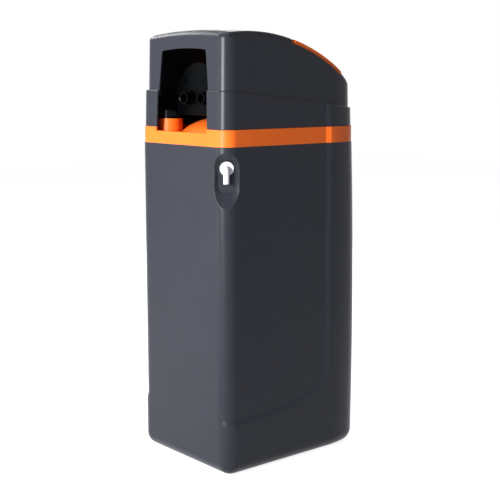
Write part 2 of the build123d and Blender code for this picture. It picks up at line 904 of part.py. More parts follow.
def make_control_panel():
    """Face plate of the controller, flush in the top panel."""
    panel = control_shaft(0, seat_z, control_top)
    panel = panel - window_shaft(-control_gap, control_top - window_thickness, form_high)
    panel = panel - window_shaft(display_border / 2, seat_z - overrun, form_high)
    for x in button_places():
        panel = panel - upright(button_radius + button_gap, seat_z - overrun, form_high, x, button_y)
    return panel


def make_display_window():
    """Smoked lens over the display."""
    return window_shaft(0, control_top - window_thickness, control_top)


def make_display():
    """Display module on the control board."""
    return window_shaft(display_border, board_z, board_z + display_thickness)


def make_control_board():
    """Circuit board of the controller, with its key switches."""
    inset = control_box_inset + control_box_wall + board_margin
    board = control_shaft(inset, board_z - board_thickness, board_z)
    button_base = board_z + button_travel + switch_gap
    for x in button_places():
        board = board + upright(button_radius / 2, board_z, button_base - button_travel, x, button_y)
    return board


def make_control_housing():
    """Open-topped box under the face plate, with four posts for the board."""
    low = seat_z - control_box_depth
    box = control_shaft(control_box_inset, low, seat_z)
    inner_inset = control_box_inset + control_box_wall
    box = box - control_shaft(inner_inset, low + control_box_wall, form_high)
    post_x = control_width / 2 - inner_inset - post_radius
    post_y = control_length / 2 - inner_inset - post_radius
    for x in (-post_x, post_x):
        for y in (-post_y, post_y):
            box = box + upright(post_radius, low, board_z - board_thickness, x, control_y + y)
    return box


def make_button(x):
    """Round push button with a skirt that keeps it under the face plate."""
    low = board_z + button_travel + switch_gap
    stem = upright(button_radius, low, control_top + button_proud, x, button_y)
    crown = stem.edges().group_by(Axis.Z)[-1]
    stem = fillet(crown, button_proud / 2)
    skirt = upright(button_radius + button_skirt, seat_z - button_skirt_height, seat_z, x, button_y)
    return stem + skirt


tank_low = cabinet_wall + tank_floor_gap
tank_base = tank_low + tank_base_height


def tank_profile(inset, neck, high):
    """Outline of the vessel seen from the side, drawn in by a wall."""
    radius = tank_radius - inset
    side = Pos(0, (tank_base + tank_shoulder) / 2) * Rectangle(2 * radius, tank_shoulder - tank_base)
    top = Pos(0, tank_shoulder) * Ellipse(radius, tank_dome_height - inset)
    base = Pos(0, tank_base) * Ellipse(radius, tank_base_height - inset)
    throat = Pos(0, (tank_shoulder + high) / 2) * Rectangle(2 * neck, high - tank_shoulder)
    return side + top + base + throat


def turned(profile):
    """Solid turned from the right half of an outline, about the tank's axis."""
    half = Pos(half_depth, total_height / 2) * Rectangle(2 * half_depth, 2 * total_height)
    return Pos(0, tank_y, 0) * revolve(Plane.XZ * (profile & half), Axis.Z)


def make_resin_tank():
    """Wound pressure vessel with its threaded neck."""
    outer = tank_profile(0, neck_radius, neck_top)
    return turned(outer - tank_profile(tank_wall, neck_bore_radius, neck_top + overrun))


def make_tank_boot():
    """Round foot that the vessel stands in."""
    boot = upright(tank_radius + boot_wall, cabinet_wall, cabinet_wall + boot_height)
    boot = boot - upright(tank_radius, cabinet_wall - overrun, cabinet_wall + boot_height + overrun)
    floor = tube(tank_radius, tank_radius / 2, cabinet_wall, cabinet_wall + boot_wall)
    return boot + floor


basket_low = tank_low + tank_wall + basket_lift
riser_low = basket_low + basket_height - basket_wall
riser_high = adapter_top


def slots(radius, low, high, width, count, x=0.0, y=tank_y):
    """Slots round a strainer, as a list of cutters."""
    cutter = Box(2 * radius, width, high - low, align=low_align)
    turns = [180 / count * index for index in range(count)]
    return [Pos(x, y, low) * Rot(0, 0, turn) * cutter for turn in turns]


def make_bottom_basket():
    """Slotted strainer at the riser's foot."""
    high = basket_low + basket_height
    basket = upright(basket_radius, basket_low, high)
    basket = basket - upright(basket_radius - basket_wall, basket_low + basket_wall, high - basket_wall)
    basket = basket - upright(riser_radius, high - basket_wall - overrun / 2, high + overrun)
    slot_low = basket_low + 2 * basket_wall
    slot_high = high - 2 * basket_wall
    return basket - slots(basket_radius + overrun, slot_low, slot_high, basket_slot_width, basket_slot_count // 2)


def make_riser_tube():
    """Tube from the bottom strainer up into the valve."""
    return tube(riser_radius, riser_bore_radius, riser_low, riser_high)


def make_top_basket():
    """Slotted strainer under the valve, round the riser."""
    low = adapter_base - top_basket_height
    basket = tube(top_basket_radius, riser_radius + fit_gap, low, neck_top)
    hollow_low = low + basket_wall
    hollow_high = neck_top - basket_wall
    hollow = upright(top_basket_radius - basket_wall, hollow_low, hollow_high)
    core = upright(riser_radius + basket_wall, hollow_low, hollow_high)
    basket = basket - (hollow - core)
    slot_low = low + 2 * basket_wall
    slot_high = adapter_base - 2 * basket_wall
    cutters = slots(basket_radius + overrun, slot_low, slot_high, basket_slot_width, basket_slot_count // 2)
    return basket - [cutter - core for cutter in cutters]


def make_resin_bed():
    """Resin filling round the strainer and the riser."""
    bed = turned(tank_profile(tank_wall + fit_gap, neck_bore_radius, neck_top))
    bed = bed - upright(tank_radius, resin_level, total_height)
    bed = bed - upright(basket_radius + fit_gap, basket_low - overrun, basket_low + basket_height + fit_gap)
    return bed - upright(riser_radius + fit_gap, basket_low, total_height)


def make_valve_body():
    """Valve body: tank adapter, manifold block, disc chamber, ports and side bosses."""
    body = upright(adapter_radius, adapter_base, adapter_top)
    low = (-valve_half_width, tank_y - valve_half_length, adapter_top)
    high = (valve_half_width, tank_y + valve_half_length, valve_top)
    manifold = block(low, high)
    manifold = fillet(manifold.edges().filter_by(Axis.Z), post_radius * 2)
    body = body + manifold
    for x in port_places():
        body = body + lengthwise(port_body_radius, port_root, port_shoulder, x, port_height)
        body = body + lengthwise(port_groove_radius, port_shoulder, port_end, x, port_height)
        body = body + lengthwise(port_radius, port_end - port_spigot_length, port_end, x, port_height)
    for x, y in post_places():
        body = body + upright(post_radius, valve_top, gear_high + gear_plate_gap, x, y)
    body = body - upright(neck_radius + fit_gap, adapter_base, neck_top)
    body = body - upright(riser_radius + fit_gap, adapter_base, riser_high)
    body = body - upright(riser_bore_radius, adapter_base, chamber_low)
    groove = upright(seal_ring + seal_section, neck_top, groove_top)
    body = body - (groove - upright(seal_ring - seal_section, neck_top, groove_top))
    body = body - upright(chamber_radius, chamber_low, valve_top)
    for x in port_places():
        blind_end = tank_y + valve_half_length / 2
        body = body - lengthwise(port_bore_radius, blind_end, port_end + overrun, x, port_height)
    body = body - injector_bore(injector_radius + fit_gap)
    brine_start = (valve_half_width / 2, brine_port_y, brine_line_height)
    brine_end = (valve_half_width + overrun, brine_port_y, brine_line_height)
    body = body - rod(brine_tube_bore, brine_start, brine_end)
    drain_start = (0, drain_y, drain_height)
    return body - rod(drain_bore_radius, drain_start, (-valve_half_width - overrun, drain_y, drain_height))


port_root = tank_y + valve_half_length - post_radius
gear_low = valve_top + gear_lift
gear_high = gear_low + gear_height
seal_ring = neck_bore_radius + 2 * seal_section
groove_top = neck_top + 2 * seal_section
chamber_low = valve_top - chamber_depth
brine_port_y = half_depth - brine_port_setback
drain_y = half_depth - drain_setback


def port_places():
    """Sideways places of the outlet and the inlet."""
    return (-port_half_spacing, port_half_spacing)


def post_places():
    """Posts that carry the gear plate."""
    x = valve_half_width - post_radius
    y = valve_half_length - post_radius
    return [(sx * x, tank_y + sy * y) for sx in (-1, 1) for sy in (-1, 1)]


def injector_bore(radius):
    """Bore of the injector in the valve's front."""
    front = tank_y - valve_half_length
    return lengthwise(radius, front - overrun, front + injector_length, 0, injector_height)


def make_neck_seal():
    """O-ring between the vessel's neck and the valve."""
    return Pos(0, tank_y, neck_top + seal_section) * Torus(seal_ring, seal_section)


def make_port_collars():
    """Rings that clamp the back plate on the two ports."""
    start = case_rear
    end = case_rear + collar_ring_length
    rings = []
    for x in port_places():
        ring = lengthwise(collar_ring_radius, start, end, x, port_height)
        ring = ring - lengthwise(port_body_radius, start - overrun, end + overrun, x, port_height)
        rings.append(ring)
    return Compound(rings)


def disc_ports(disc, low, count, phase):
    """Cut flow ports through a disc."""
    for index in range(count):
        turn = phase + 360 / count * index
        x, y = on_circle((0, tank_y), disc_port_ring, turn)
        disc = disc - upright(disc_port_radius, low - overrun, low + overrun, x, y)
    return disc


def make_fixed_disc():
    """Ceramic disc fixed in the chamber's floor."""
    return disc_ports(upright(disc_radius, chamber_low, chamber_low + fixed_disc_height), chamber_low, 6, 0)


rotor_low = chamber_low + fixed_disc_height
rotor_high = rotor_low + rotor_disc_height


def make_rotor_disc():
    """Ceramic disc that turns on the fixed one."""
    return disc_ports(upright(rotor_disc_radius, rotor_low, rotor_high), rotor_low, 2, 0)


def make_bonnet():
    """Cap of the disc chamber, with the stem's bore and a groove for its seal."""
    bonnet = tube(bonnet_radius, stem_radius + running_gap, valve_top, valve_top + bonnet_height)
    groove = upright(stem_radius + 2 * seal_section, valve_top, valve_top + 2 * seal_section)
    return bonnet - groove


def make_stem_seal():
    """O-ring round the stem."""
    high = valve_top + 2 * seal_section
    return tube(stem_radius + 2 * seal_section, stem_radius + running_gap, valve_top, high)


flank_shares = (0.0, 0.35, 0.7, 1.0)


def involute(base, radius):
    """Turn of an involute at a radius, in radians."""
    return math.sqrt(radius**2 / base**2 - 1) - math.acos(base / radius)


def spur(teeth, low, high, x, y, turn):
    """Spur gear with involute flanks, thinned by the backlash."""
    pitch = gear_module * teeth / 2
    base = pitch * math.cos(math.radians(pressure_angle))
    root = pitch - 1.25 * gear_module
    tip = pitch + 0.9 * gear_module
    half_tooth = math.pi / (2 * teeth) - tooth_backlash / (2 * pitch)
    start = max(base, root)
    flank = [start + (tip - start) * share for share in flank_shares]
    points = []
    for index in range(teeth):
        middle = math.radians(turn) + 2 * math.pi * index / teeth
        spread = [half_tooth + involute(base, pitch) - involute(base, radius) for radius in flank]
        rise = [(radius, middle - half) for radius, half in zip(flank, spread)]
        fall = [(radius, middle + half) for radius, half in zip(flank, spread)]
        whole = rise + fall[::-1]
        if base > root:
            whole = [(root, rise[0][1])] + whole + [(root, fall[0][1])]
        points += [(radius * math.cos(angle), radius * math.sin(angle)) for radius, angle in whole]
    face = make_face(Polyline(*points, close=True))
    return Pos(x, y, 0) * prism(face, low, high)


pinion_y = tank_y - gear_module * (gear_teeth + pinion_teeth) / 2
motor_low = gear_high + gear_plate_gap + gear_plate_thickness


def make_drive_gear():
    """Drive gear with the stem that turns the rotor disc."""
    gear = spur(gear_teeth, gear_low, gear_high, 0, tank_y, -90)
    return gear + upright(stem_radius, rotor_high, gear_high)


def make_pinion():
    """Motor pinion on its shaft."""
    gear = spur(pinion_teeth, gear_low, gear_high, 0, pinion_y, 90 + 180 / pinion_teeth)
    return gear + upright(motor_shaft_radius, gear_low, motor_low + motor_height / 2, 0, pinion_y)


def make_gear_plate():
    """Plate over the gears that carries the motor."""
    low = gear_high + gear_plate_gap
    front = pinion_y - motor_radius
    plate = block(
        (-gear_plate_half_width, front, low),
        (gear_plate_half_width, tank_y + valve_half_length, low + gear_plate_thickness),
    )
    return plate - upright(2 * motor_shaft_radius, low - overrun, low + overrun, 0, pinion_y)


def make_drive_motor():
    """Geared motor that turns the discs."""
    motor = upright(motor_radius, motor_low, motor_low + motor_height, 0, pinion_y)
    bore_high = motor_low + motor_height / 2 + running_gap
    return motor - upright(motor_shaft_radius + running_gap, motor_low - overrun, bore_high, 0, pinion_y)


def make_injector():
    """Venturi nozzle in the valve's front."""
    front = tank_y - valve_half_length
    rear = front + injector_length
    nozzle = lengthwise(injector_radius, front, rear, 0, injector_height)
    return nozzle - lengthwise(injector_radius / 4, front - overrun, rear + overrun, 0, injector_height)


def make_injector_cap():
    """Screw cap over the injector."""
    front = tank_y - valve_half_length
    cap = lengthwise(injector_cap_radius, front - injector_cap_length, front, 0, injector_height)
    return fillet(cap.edges().sort_by(Axis.Y)[0], injector_cap_length / 4)


def make_brine_fitting():
    """Compression fitting where the brine tube leaves the valve."""
    start = (valve_half_width, brine_port_y, brine_line_height)
    end = (valve_half_width + fitting_length, brine_port_y, brine_line_height)
    seat = (valve_half_width + fitting_length / 2, brine_port_y, brine_line_height)
    fitting = rod(fitting_radius, start, end) - rod(brine_tube_bore, start, end)
    return fitting - rod(brine_tube_radius, seat, end)


def brine_route():
    """Brine tube's line: out of the valve, one bend, and back to the well's elbow."""
    start = (valve_half_width + fitting_length / 2, brine_port_y, brine_line_height)
    corner = (well_x, brine_port_y, brine_line_height)
    end = (well_x, well_y - fitting_length / 2, brine_line_height)
    return FilletPolyline(start, corner, end, radius=brine_bend_radius)


def make_brine_tube():
    """Brine tube between the valve and the well."""
    route = brine_route()
    section = Plane(origin=route @ 0, z_dir=route % 0)
    bore = sweep(section * Circle(brine_tube_bore), route)
    return sweep(section * Circle(brine_tube_radius), route) - bore


def make_brine_elbow():
    """Elbow on the well's cap that takes the brine tube."""
    inlet = (well_x, well_y - fitting_length, brine_line_height)
    middle = (well_x, well_y, brine_line_height)
    seat = (well_x, well_y - fitting_length / 2, brine_line_height)
    elbow = upright(fitting_radius, cap_top, brine_line_height, well_x, well_y)
    elbow = elbow + Pos(*middle) * Sphere(fitting_radius) + rod(fitting_radius, inlet, middle)
    elbow = elbow - rod(brine_tube_bore, inlet, middle) - rod(brine_tube_radius, inlet, seat)
    return elbow - upright(brine_tube_bore, cap_top - overrun, brine_line_height, well_x, well_y)


def make_drain_elbow():
    """Drain elbow: a stub in the valve's side, turned to a barb that points to the rear."""
    stub_start = (-valve_half_width, drain_y, drain_height)
    turn = (-drain_offset, drain_y, drain_height)
    end = (-drain_offset, port_end, drain_height)
    elbow = rod(drain_stub_radius, stub_start, turn) + Pos(*turn) * Sphere(drain_stub_radius)
    elbow = elbow + rod(drain_pipe_radius, turn, end)
    elbow = elbow + lengthwise(drain_barb_radius, port_end - drain_barb_length, port_end, -drain_offset, drain_height)
    return elbow - rod(drain_bore_radius, stub_start, turn) - rod(drain_bore_radius, turn, end)


def make_drain_clip():
    """Spring clip that holds the drain elbow on the valve."""
    x = -valve_half_width - drain_clip_thickness
    clip = block(
        (x, drain_y - drain_clip_width / 2, drain_height - drain_clip_width / 2),
        (-valve_half_width, drain_y + drain_clip_width / 2, drain_height + drain_clip_width / 2),
    )
    start = (x - overrun, drain_y, drain_height)
    return clip - rod(drain_stub_radius, start, (overrun, drain_y, drain_height))


def case_face(inset):
    """Round-topped outline of the valve's casing."""
    half = case_half_width - inset
    arch = (half, case_centre_height)
    edges = [
        Line((-half, case_base), (half, case_base)),
        Line((half, case_base), arch),
        ThreePointArc(arch, (0, case_centre_height + half), (-half, case_centre_height)),
        Line((-half, case_centre_height), (-half, case_base)),
    ]
    return make_face(edges)


def case_form(inset, front, rear):
    """Casing outline extruded along the valve."""
    place = Plane(origin=(0, rear, 0), x_dir=(1, 0, 0), z_dir=(0, -1, 0))
    return extrude(place * case_face(inset), amount=rear - front)


def case_screw_places():
    """Two screws through the back plate's shoulders."""
    return [(side * case_screw_spread, case_centre_height) for side in (-1, 1)]


plate_front = case_rear - rear_plate_thickness
inlet_end = case_rear + inlet_socket_length / 3


def make_rear_plate():
    """Round-topped back plate with the holes for the ports, the drain and the power inlet."""
    plate = case_form(0, plate_front, case_rear)
    rim = plate.edges().group_by(Axis.Y)[-1]
    plate = fillet(rim, rear_plate_thickness / 3)
    for x in port_places():
        plate = plate - lengthwise(port_body_radius, tank_y, port_end, x, port_height)
    drain_hole = drain_barb_radius + port_hole_gap
    plate = plate - lengthwise(drain_hole, drain_y, port_end, -drain_offset, drain_height)
    socket = (inlet_socket_x, plate_front - overrun, inlet_socket_height)
    plate = plate - rod(inlet_socket_radius, socket, (inlet_socket_x, port_end, inlet_socket_height))
    for x, z in case_screw_places():
        plate = plate - lengthwise(screw_radius, plate_front - overrun, port_end, x, z)
    return plate


def make_valve_cover():
    """Arched cover over the valve, open below and to the rear."""
    cover = case_form(0, case_front, plate_front)
    cover = cover - case_form(case_wall, case_front + case_wall, plate_front + overrun)
    cover = cover - block(
        (case_wall - case_half_width, case_front + case_wall, case_base - overrun),
        (case_half_width - case_wall, plate_front + overrun, case_centre_height),
    )
    for x, z in case_screw_places():
        boss_start = plate_front - screw_length
        outward = math.copysign(case_half_width - case_wall / 2, x)
        ends = sorted((x - math.copysign(post_radius, x), outward))
        boss = block((ends[0], boss_start, z - post_radius), (ends[1], plate_front, z + post_radius))
        cover = cover + boss - lengthwise(screw_radius, boss_start - overrun, port_end, x, z)
    slot = fitting_radius + port_hole_gap
    cover = cover - block(
        (valve_half_width, brine_port_y - slot, case_base - overrun),
        (half_width, brine_port_y + slot, brine_line_height + slot),
    )
    return cover


def make_cover_screws():
    """Two screws that hold the cover to the back plate."""
    screws = []
    for x, z in case_screw_places():
        shank = lengthwise(screw_radius, case_rear - screw_length + screw_head_height, case_rear, x, z)
        head = lengthwise(screw_head_radius, case_rear, case_rear + screw_head_height, x, z)
        screws.append(shank + head)
    return Compound(screws)


def make_drive_board():
    """Circuit board of the motor drive, on the back plate's inner face."""
    rear = plate_front
    low = case_centre_height + port_radius + drive_board_gap
    return block(
        (-drive_board_width / 2, rear - drive_board_setback, low),
        (drive_board_width / 2, rear - drive_board_setback + board_thickness, low + drive_board_height),
    ) + board_posts(low)


def board_posts(low):
    """Four standoffs between the drive board and the back plate."""
    posts = []
    for x in (post_radius - drive_board_width / 2, drive_board_width / 2 - post_radius):
        for z in (low + post_radius, low + drive_board_height - post_radius):
            posts.append(lengthwise(post_radius / 2, plate_front - drive_board_setback, plate_front, x, z))
    return posts


def make_power_inlet():
    """Round low-voltage inlet in the back plate."""
    start = (inlet_socket_x, plate_front - inlet_socket_length / 2, inlet_socket_height)
    end = (inlet_socket_x, inlet_end, inlet_socket_height)
    socket = rod(inlet_socket_radius, start, end)
    socket = socket - rod(inlet_socket_radius / 2, (inlet_socket_x, plate_front, inlet_socket_height), end)
    return socket


def make_flow_straightener():
    """Vaned ring in the outlet that carries the meter's pin."""
    x = -port_half_spacing
    start = turbine_place - turbine_length / 2 - running_gap - straightener_length
    end = start + straightener_length
    ring = lengthwise(port_bore_radius, start, end, x, port_height)
    inner = port_bore_radius - straightener_vane
    ring = ring - lengthwise(inner, start - overrun, end + overrun, x, port_height)
    for turn in (0, 60, 120):
        vane = Box(2 * port_bore_radius - straightener_vane, straightener_length, straightener_vane)
        ring = ring + Pos(x, (start + end) / 2, port_height) * Rot(0, turn, 0) * vane
    ring = ring + lengthwise(turbine_hub_radius, start, end, x, port_height)
    return ring + lengthwise(turbine_pin_radius, start, turbine_place + turbine_length / 2, x, port_height)


def make_meter_turbine():
    """Meter's rotor: a hub with flat blades, turning on the pin."""
    x = -port_half_spacing
    start = turbine_place - turbine_length / 2
    end = turbine_place + turbine_length / 2
    rotor = lengthwise(turbine_hub_radius, start, end, x, port_height)
    for index in range(turbine_blades // 2):
        turn = 360 / turbine_blades * index
        blade = Box(2 * turbine_radius, turbine_length, turbine_blade_thickness)
        rotor = rotor + Pos(x, turbine_place, port_height) * Rot(0, turn, 0) * blade
    bore = turbine_pin_radius + running_gap
    return rotor - lengthwise(bore, start - overrun, end + overrun, x, port_height)


def make_brine_well():
    """Upright tube that keeps the salt off the float, slotted at its foot."""
    well = tube(well_radius, well_radius - well_wall, well_low, well_high, well_x, well_y)
    low = well_low + 2 * well_slot_width
    high = low + well_slot_height
    return well - slots(2 * well_radius, low, high, well_slot_width, well_slot_count // 2, well_x, well_y)


def make_well_cap():
    """Black cap over the brine well."""
    low = plate_high + collar_height
    outer = well_radius + fit_gap + cap_wall
    cap = upright(outer, low, cap_top, well_x, well_y)
    cap = fillet(cap.edges().group_by(Axis.Z)[-1], cap_wall)
    cap = cap - upright(well_radius + fit_gap, low - overrun, well_high, well_x, well_y)
    return cap - upright(brine_tube_bore, low, cap_top + overrun, well_x, well_y)


rod_x = well_x + rod_shift
guide_bore = well_radius - well_wall


def make_float_guides():
    """Two guide plates in the well for the float's rod."""
    guides = []
    for low in (guide_bottom, guide_top):
        guide = upright(guide_bore, low, low + guide_thickness, well_x, well_y)
        guide = guide - upright(rod_radius + running_gap, low - overrun, low + overrun, rod_x, well_y)
        guides.append(guide - upright(pickup_radius, low - overrun, low + overrun, well_x, well_y))
    return Compound(guides)


def make_float():
    """Hollow float on its rod, free round the pickup tube."""
    float_top = float_base + float_length
    body = upright(float_radius, float_base, float_top, well_x, well_y)
    body = fillet(body.edges(), float_radius / 8)
    body = body - upright(pickup_radius + float_play, float_base - overrun, float_top + overrun, well_x, well_y)
    return body - upright(rod_radius, float_base - overrun, float_top + overrun, rod_x, well_y)


def make_float_rod():
    """Rod that the float lifts."""
    return upright(rod_radius, rod_bottom, rod_top, rod_x, well_y)


def make_pickup_tube():
    """Tube that draws brine from the foot of the well."""
    low = air_check_base + air_check_height
    return tube(pickup_radius, brine_tube_bore, low, well_high, well_x, well_y)


def make_air_check():
    """Air check at the foot of the pickup tube."""
    body = upright(air_check_radius, cabinet_wall, air_check_base + air_check_height, well_x, well_y)
    slot_high = 2 * air_check_base
    return body - slots(2 * air_check_radius, air_check_base, slot_high, well_slot_width, 2, well_x, well_y)


def grid_legs():
    """Middle of each leg under the salt grid."""
    side = half_width - panel_step - cabinet_wall - grid_gap - grid_leg_radius
    places = [(side * x, half_depth * y) for x, y in leg_shares]
    return places


leg_shares = ((-0.868, 0.52), (0.868, 0.52), (-0.868, -0.16), (0.868, -0.16), (-0.72, -0.68), (0.72, -0.68))


def make_salt_grid():
    """Perforated plate that carries the salt, on hollow legs."""
    side = panel_step + cabinet_wall + grid_gap
    edge = cabinet_wall + grid_gap
    grid_low = grid_height - grid_thickness
    plate_plan = plan(side, edge, edge + lean(grid_height))
    grid = prism(plate_plan, grid_low, grid_height)
    for x, y in grid_legs():
        grid = grid + upright(grid_leg_radius, cabinet_wall, grid_height, x, y)
    tank_hole = tank_radius + boot_wall + grid_gap
    well_hole = well_radius + grid_gap
    grid = grid - upright(tank_hole, grid_low - overrun, grid_height + overrun)
    grid = grid - upright(well_hole, grid_low - overrun, grid_height + overrun, well_x, well_y)
    for x, y in grid_legs():
        grid = grid - upright(grid_leg_radius - grid_leg_wall, cabinet_wall - overrun, grid_low, x, y)
    drill = Cylinder(grid_hole_radius, 2 * overrun)
    return grid - [Pos(x, y, grid_height) * drill for x, y in grid_holes()]


def grid_holes():
    """Holes of the salt grid, clear of its edge, legs, tank and well."""
    columns = int(half_width // grid_hole_pitch)
    rows = int(half_depth // grid_hole_pitch)
    edge = 2 * grid_hole_radius + grid_gap
    holes = []
    for column in range(-columns, columns + 1):
        for row in range(-rows, rows + 1):
            x = column * grid_hole_pitch
            y = row * grid_hole_pitch
            inside = abs(x) < half_width - grid_hole_pitch and abs(y) < half_depth - 2 * grid_hole_pitch
            clear = math.dist((x, y), (0, tank_y)) > tank_radius + edge
            clear = clear and math.dist((x, y), (well_x, well_y)) > well_radius + edge
            for leg in grid_legs():
                clear = clear and math.dist((x, y), leg) > grid_leg_radius + grid_hole_radius
            if inside and clear:
                holes.append((x, y))
    return holes


def make_overflow_elbow():
    """White overflow elbow: a flange on the pocket's floor, a stub through it and a turned-down spout."""
    place = corner_plane(pocket_depth, elbow_height)
    back = cabinet_wall + gasket_thickness + nut_thickness + elbow_tail
    middle = place.from_local_coords((0, 0, elbow_reach))
    start = place.from_local_coords((0, 0, -back))
    end = middle - Vector(0, 0, elbow_drop)
    route = FilletPolyline(start, middle, end, radius=elbow_stub_radius + elbow_gap)
    section = Plane(origin=route @ 0, z_dir=route % 0)
    outer = sweep(section * Circle(elbow_stub_radius), route)
    bore = sweep(section * Circle(elbow_bore_radius), route)
    flange = place * Cylinder(elbow_flange_radius, elbow_flange_thickness, align=low_align)
    flange = fillet(flange.edges().filter_by(GeomType.CIRCLE), elbow_flange_thickness / 4)
    return outer + flange - bore


def elbow_ring(radius, depth, thickness):
    """Ring round the elbow's stub behind the pocket's floor."""
    place = corner_plane(pocket_depth + depth + thickness, elbow_height)
    ring = place * Cylinder(radius, thickness, align=low_align)
    return ring - place * Cylinder(elbow_stub_radius, 4 * thickness)


def make_overflow_gasket():
    """Gasket behind the wall, round the elbow's stub."""
    return elbow_ring(gasket_radius, cabinet_wall, gasket_thickness)


def make_overflow_nut():
    """Hexagon nut that pulls the elbow against the wall."""
    depth = pocket_depth + cabinet_wall + gasket_thickness + nut_thickness
    place = corner_plane(depth, elbow_height)
    nut = extrude(place * RegularPolygon(nut_radius, 6), amount=nut_thickness)
    return nut - place * Cylinder(elbow_stub_radius, 4 * nut_thickness)


pieces = {
    "cabinet": make_cabinet,
    "deck": make_deck,
    "cover_ring": make_cover_ring,
    "ring_screws": make_ring_screws,
    "hood": make_hood,
    "hinge_pins": make_hinge_pins,
    "top_panel": make_top_panel,
    "salt_lid": make_salt_lid,
    "control_panel": make_control_panel,
    "display_window": make_display_window,
    "display": make_display,
    "control_board": make_control_board,
    "control_housing": make_control_housing,
    "resin_tank": make_resin_tank,
    "tank_boot": make_tank_boot,
    "bottom_basket": make_bottom_basket,
    "riser_tube": make_riser_tube,
    "top_basket": make_top_basket,
    "resin_bed": make_resin_bed,
    "valve_body": make_valve_body,
    "neck_seal": make_neck_seal,
    "port_collars": make_port_collars,
    "fixed_disc": make_fixed_disc,
    "rotor_disc": make_rotor_disc,
    "bonnet": make_bonnet,
    "stem_seal": make_stem_seal,
    "drive_gear": make_drive_gear,
    "pinion": make_pinion,
    "gear_plate": make_gear_plate,
    "drive_motor": make_drive_motor,
    "injector": make_injector,
    "injector_cap": make_injector_cap,
    "brine_fitting": make_brine_fitting,
    "brine_tube": make_brine_tube,
    "brine_elbow": make_brine_elbow,
    "drain_elbow": make_drain_elbow,
    "drain_clip": make_drain_clip,
    "rear_plate": make_rear_plate,
    "valve_cover": make_valve_cover,
    "cover_screws": make_cover_screws,
    "drive_board": make_drive_board,
    "power_inlet": make_power_inlet,
    "flow_straightener": make_flow_straightener,
    "meter_turbine": make_meter_turbine,
    "brine_well": make_brine_well,
    "well_cap": make_well_cap,
    "float_guides": make_float_guides,
    "float": make_float,
    "float_rod": make_float_rod,
    "pickup_tube": make_pickup_tube,
    "air_check": make_air_check,
    "salt_grid": make_salt_grid,
    "overflow_elbow": make_overflow_elbow,
    "overflow_gasket": make_overflow_gasket,
    "overflow_nut": make_overflow_nut,
}

os.makedirs("parts", exist_ok=True)
for name, make in pieces.items():
    export_step(make(), f"parts/{name}.step")
for number, x in enumerate(button_places(), 1):
    export_step(make_button(x), f"parts/button_{number}.step")
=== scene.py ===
# %% [markdown]
# # A water softener in its cabinet
# A slim household softener: a dark moulded cabinet that holds a pressure vessel and salt,
# an orange deck that shows as a band, a cover ring, and a hood with an orange salt lid.
# Its solids come ready made in metres, so this lesson makes their finishes, the small
# parts that are too fine for the solids, the light and the camera.

# %% Load the solids
import json
import math

import bmesh
import bpy
from mathutils import Matrix, Vector


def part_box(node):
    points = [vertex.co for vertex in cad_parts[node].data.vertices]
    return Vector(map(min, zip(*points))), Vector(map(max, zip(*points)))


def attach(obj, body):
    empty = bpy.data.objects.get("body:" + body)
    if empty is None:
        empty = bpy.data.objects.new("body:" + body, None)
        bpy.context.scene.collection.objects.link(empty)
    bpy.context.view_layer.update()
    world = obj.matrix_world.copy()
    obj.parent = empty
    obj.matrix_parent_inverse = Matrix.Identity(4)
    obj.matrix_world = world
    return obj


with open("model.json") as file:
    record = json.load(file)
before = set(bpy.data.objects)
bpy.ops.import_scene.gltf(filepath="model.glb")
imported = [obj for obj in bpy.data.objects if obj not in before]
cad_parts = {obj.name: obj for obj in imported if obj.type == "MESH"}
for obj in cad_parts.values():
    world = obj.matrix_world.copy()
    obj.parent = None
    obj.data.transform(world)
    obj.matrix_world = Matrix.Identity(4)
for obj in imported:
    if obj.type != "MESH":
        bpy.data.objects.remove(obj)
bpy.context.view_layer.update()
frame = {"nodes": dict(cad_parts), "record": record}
nodes = frame["nodes"]
millimetre = 0.001

# %% [markdown]
# The photograph was taken from about a metre above the floor, behind the cabinet and to
# one side, with a long lens that looks slightly down. Such a view could be matched by eye.
# Here its place, heading and pitch were worked out from the straight edges of the cabinet,
# so that the render can be laid over the photograph.

# %% Camera
camera_place = Vector((-2.2197, 1.8762, 1.0075))
camera_heading = math.radians(-39.955)
camera_pitch = math.radians(9.05)
focal_length = 77.0
sensor_width = 36.0
look = Vector((
    math.cos(camera_heading) * math.cos(camera_pitch),
    math.sin(camera_heading) * math.cos(camera_pitch),
    -math.sin(camera_pitch),
))
camera_data = bpy.data.cameras.new("camera")
camera_data.lens = focal_length
camera_data.sensor_width = sensor_width
camera = bpy.data.objects.new("camera", camera_data)
camera.location = camera_place
camera.rotation_euler = look.to_track_quat("-Z", "Y").to_euler()
bpy.context.scene.collection.objects.link(camera)
bpy.context.scene.camera = camera
print("camera looks along", tuple(round(value, 3) for value in look))

# %% [markdown]
# Colours are written as they look on a screen, in sRGB hex, and one function turns them
# to the linear values that the shaders work in. One more function adds a node, sets it and
# links it, whatever its kind, so each finish below reads as a short list.

# %% Colour and node helpers
dark_limit = 0.04045
dark_slope = 12.92
curve_lift = 0.055
curve_power = 2.4


def linear(code):
    """An sRGB hex colour as linear red, green, blue and alpha, by the standard's curve."""
    colour = []
    for start in (1, 3, 5):
        part = int(code[start:start + 2], 16) / 255
        if part <= dark_limit:
            colour.append(part / dark_slope)
        else:
            colour.append(((part + curve_lift) / (1 + curve_lift)) ** curve_power)
    return colour + [1.0]


def add_node(tree, kind, sockets=None, **settings):
    """Adds a node, gives it its settings, and sets or links its inputs."""
    node = tree.nodes.new(kind)
    for name, value in settings.items():
        setattr(node, name, value)
    for key, value in (sockets or {}).items():
        if isinstance(value, bpy.types.NodeSocket):
            tree.links.new(value, node.inputs[key])
        else:
            node.inputs[key].default_value = value
    return node


print("middle grey in linear light:", round(linear("#808080")[0], 3))

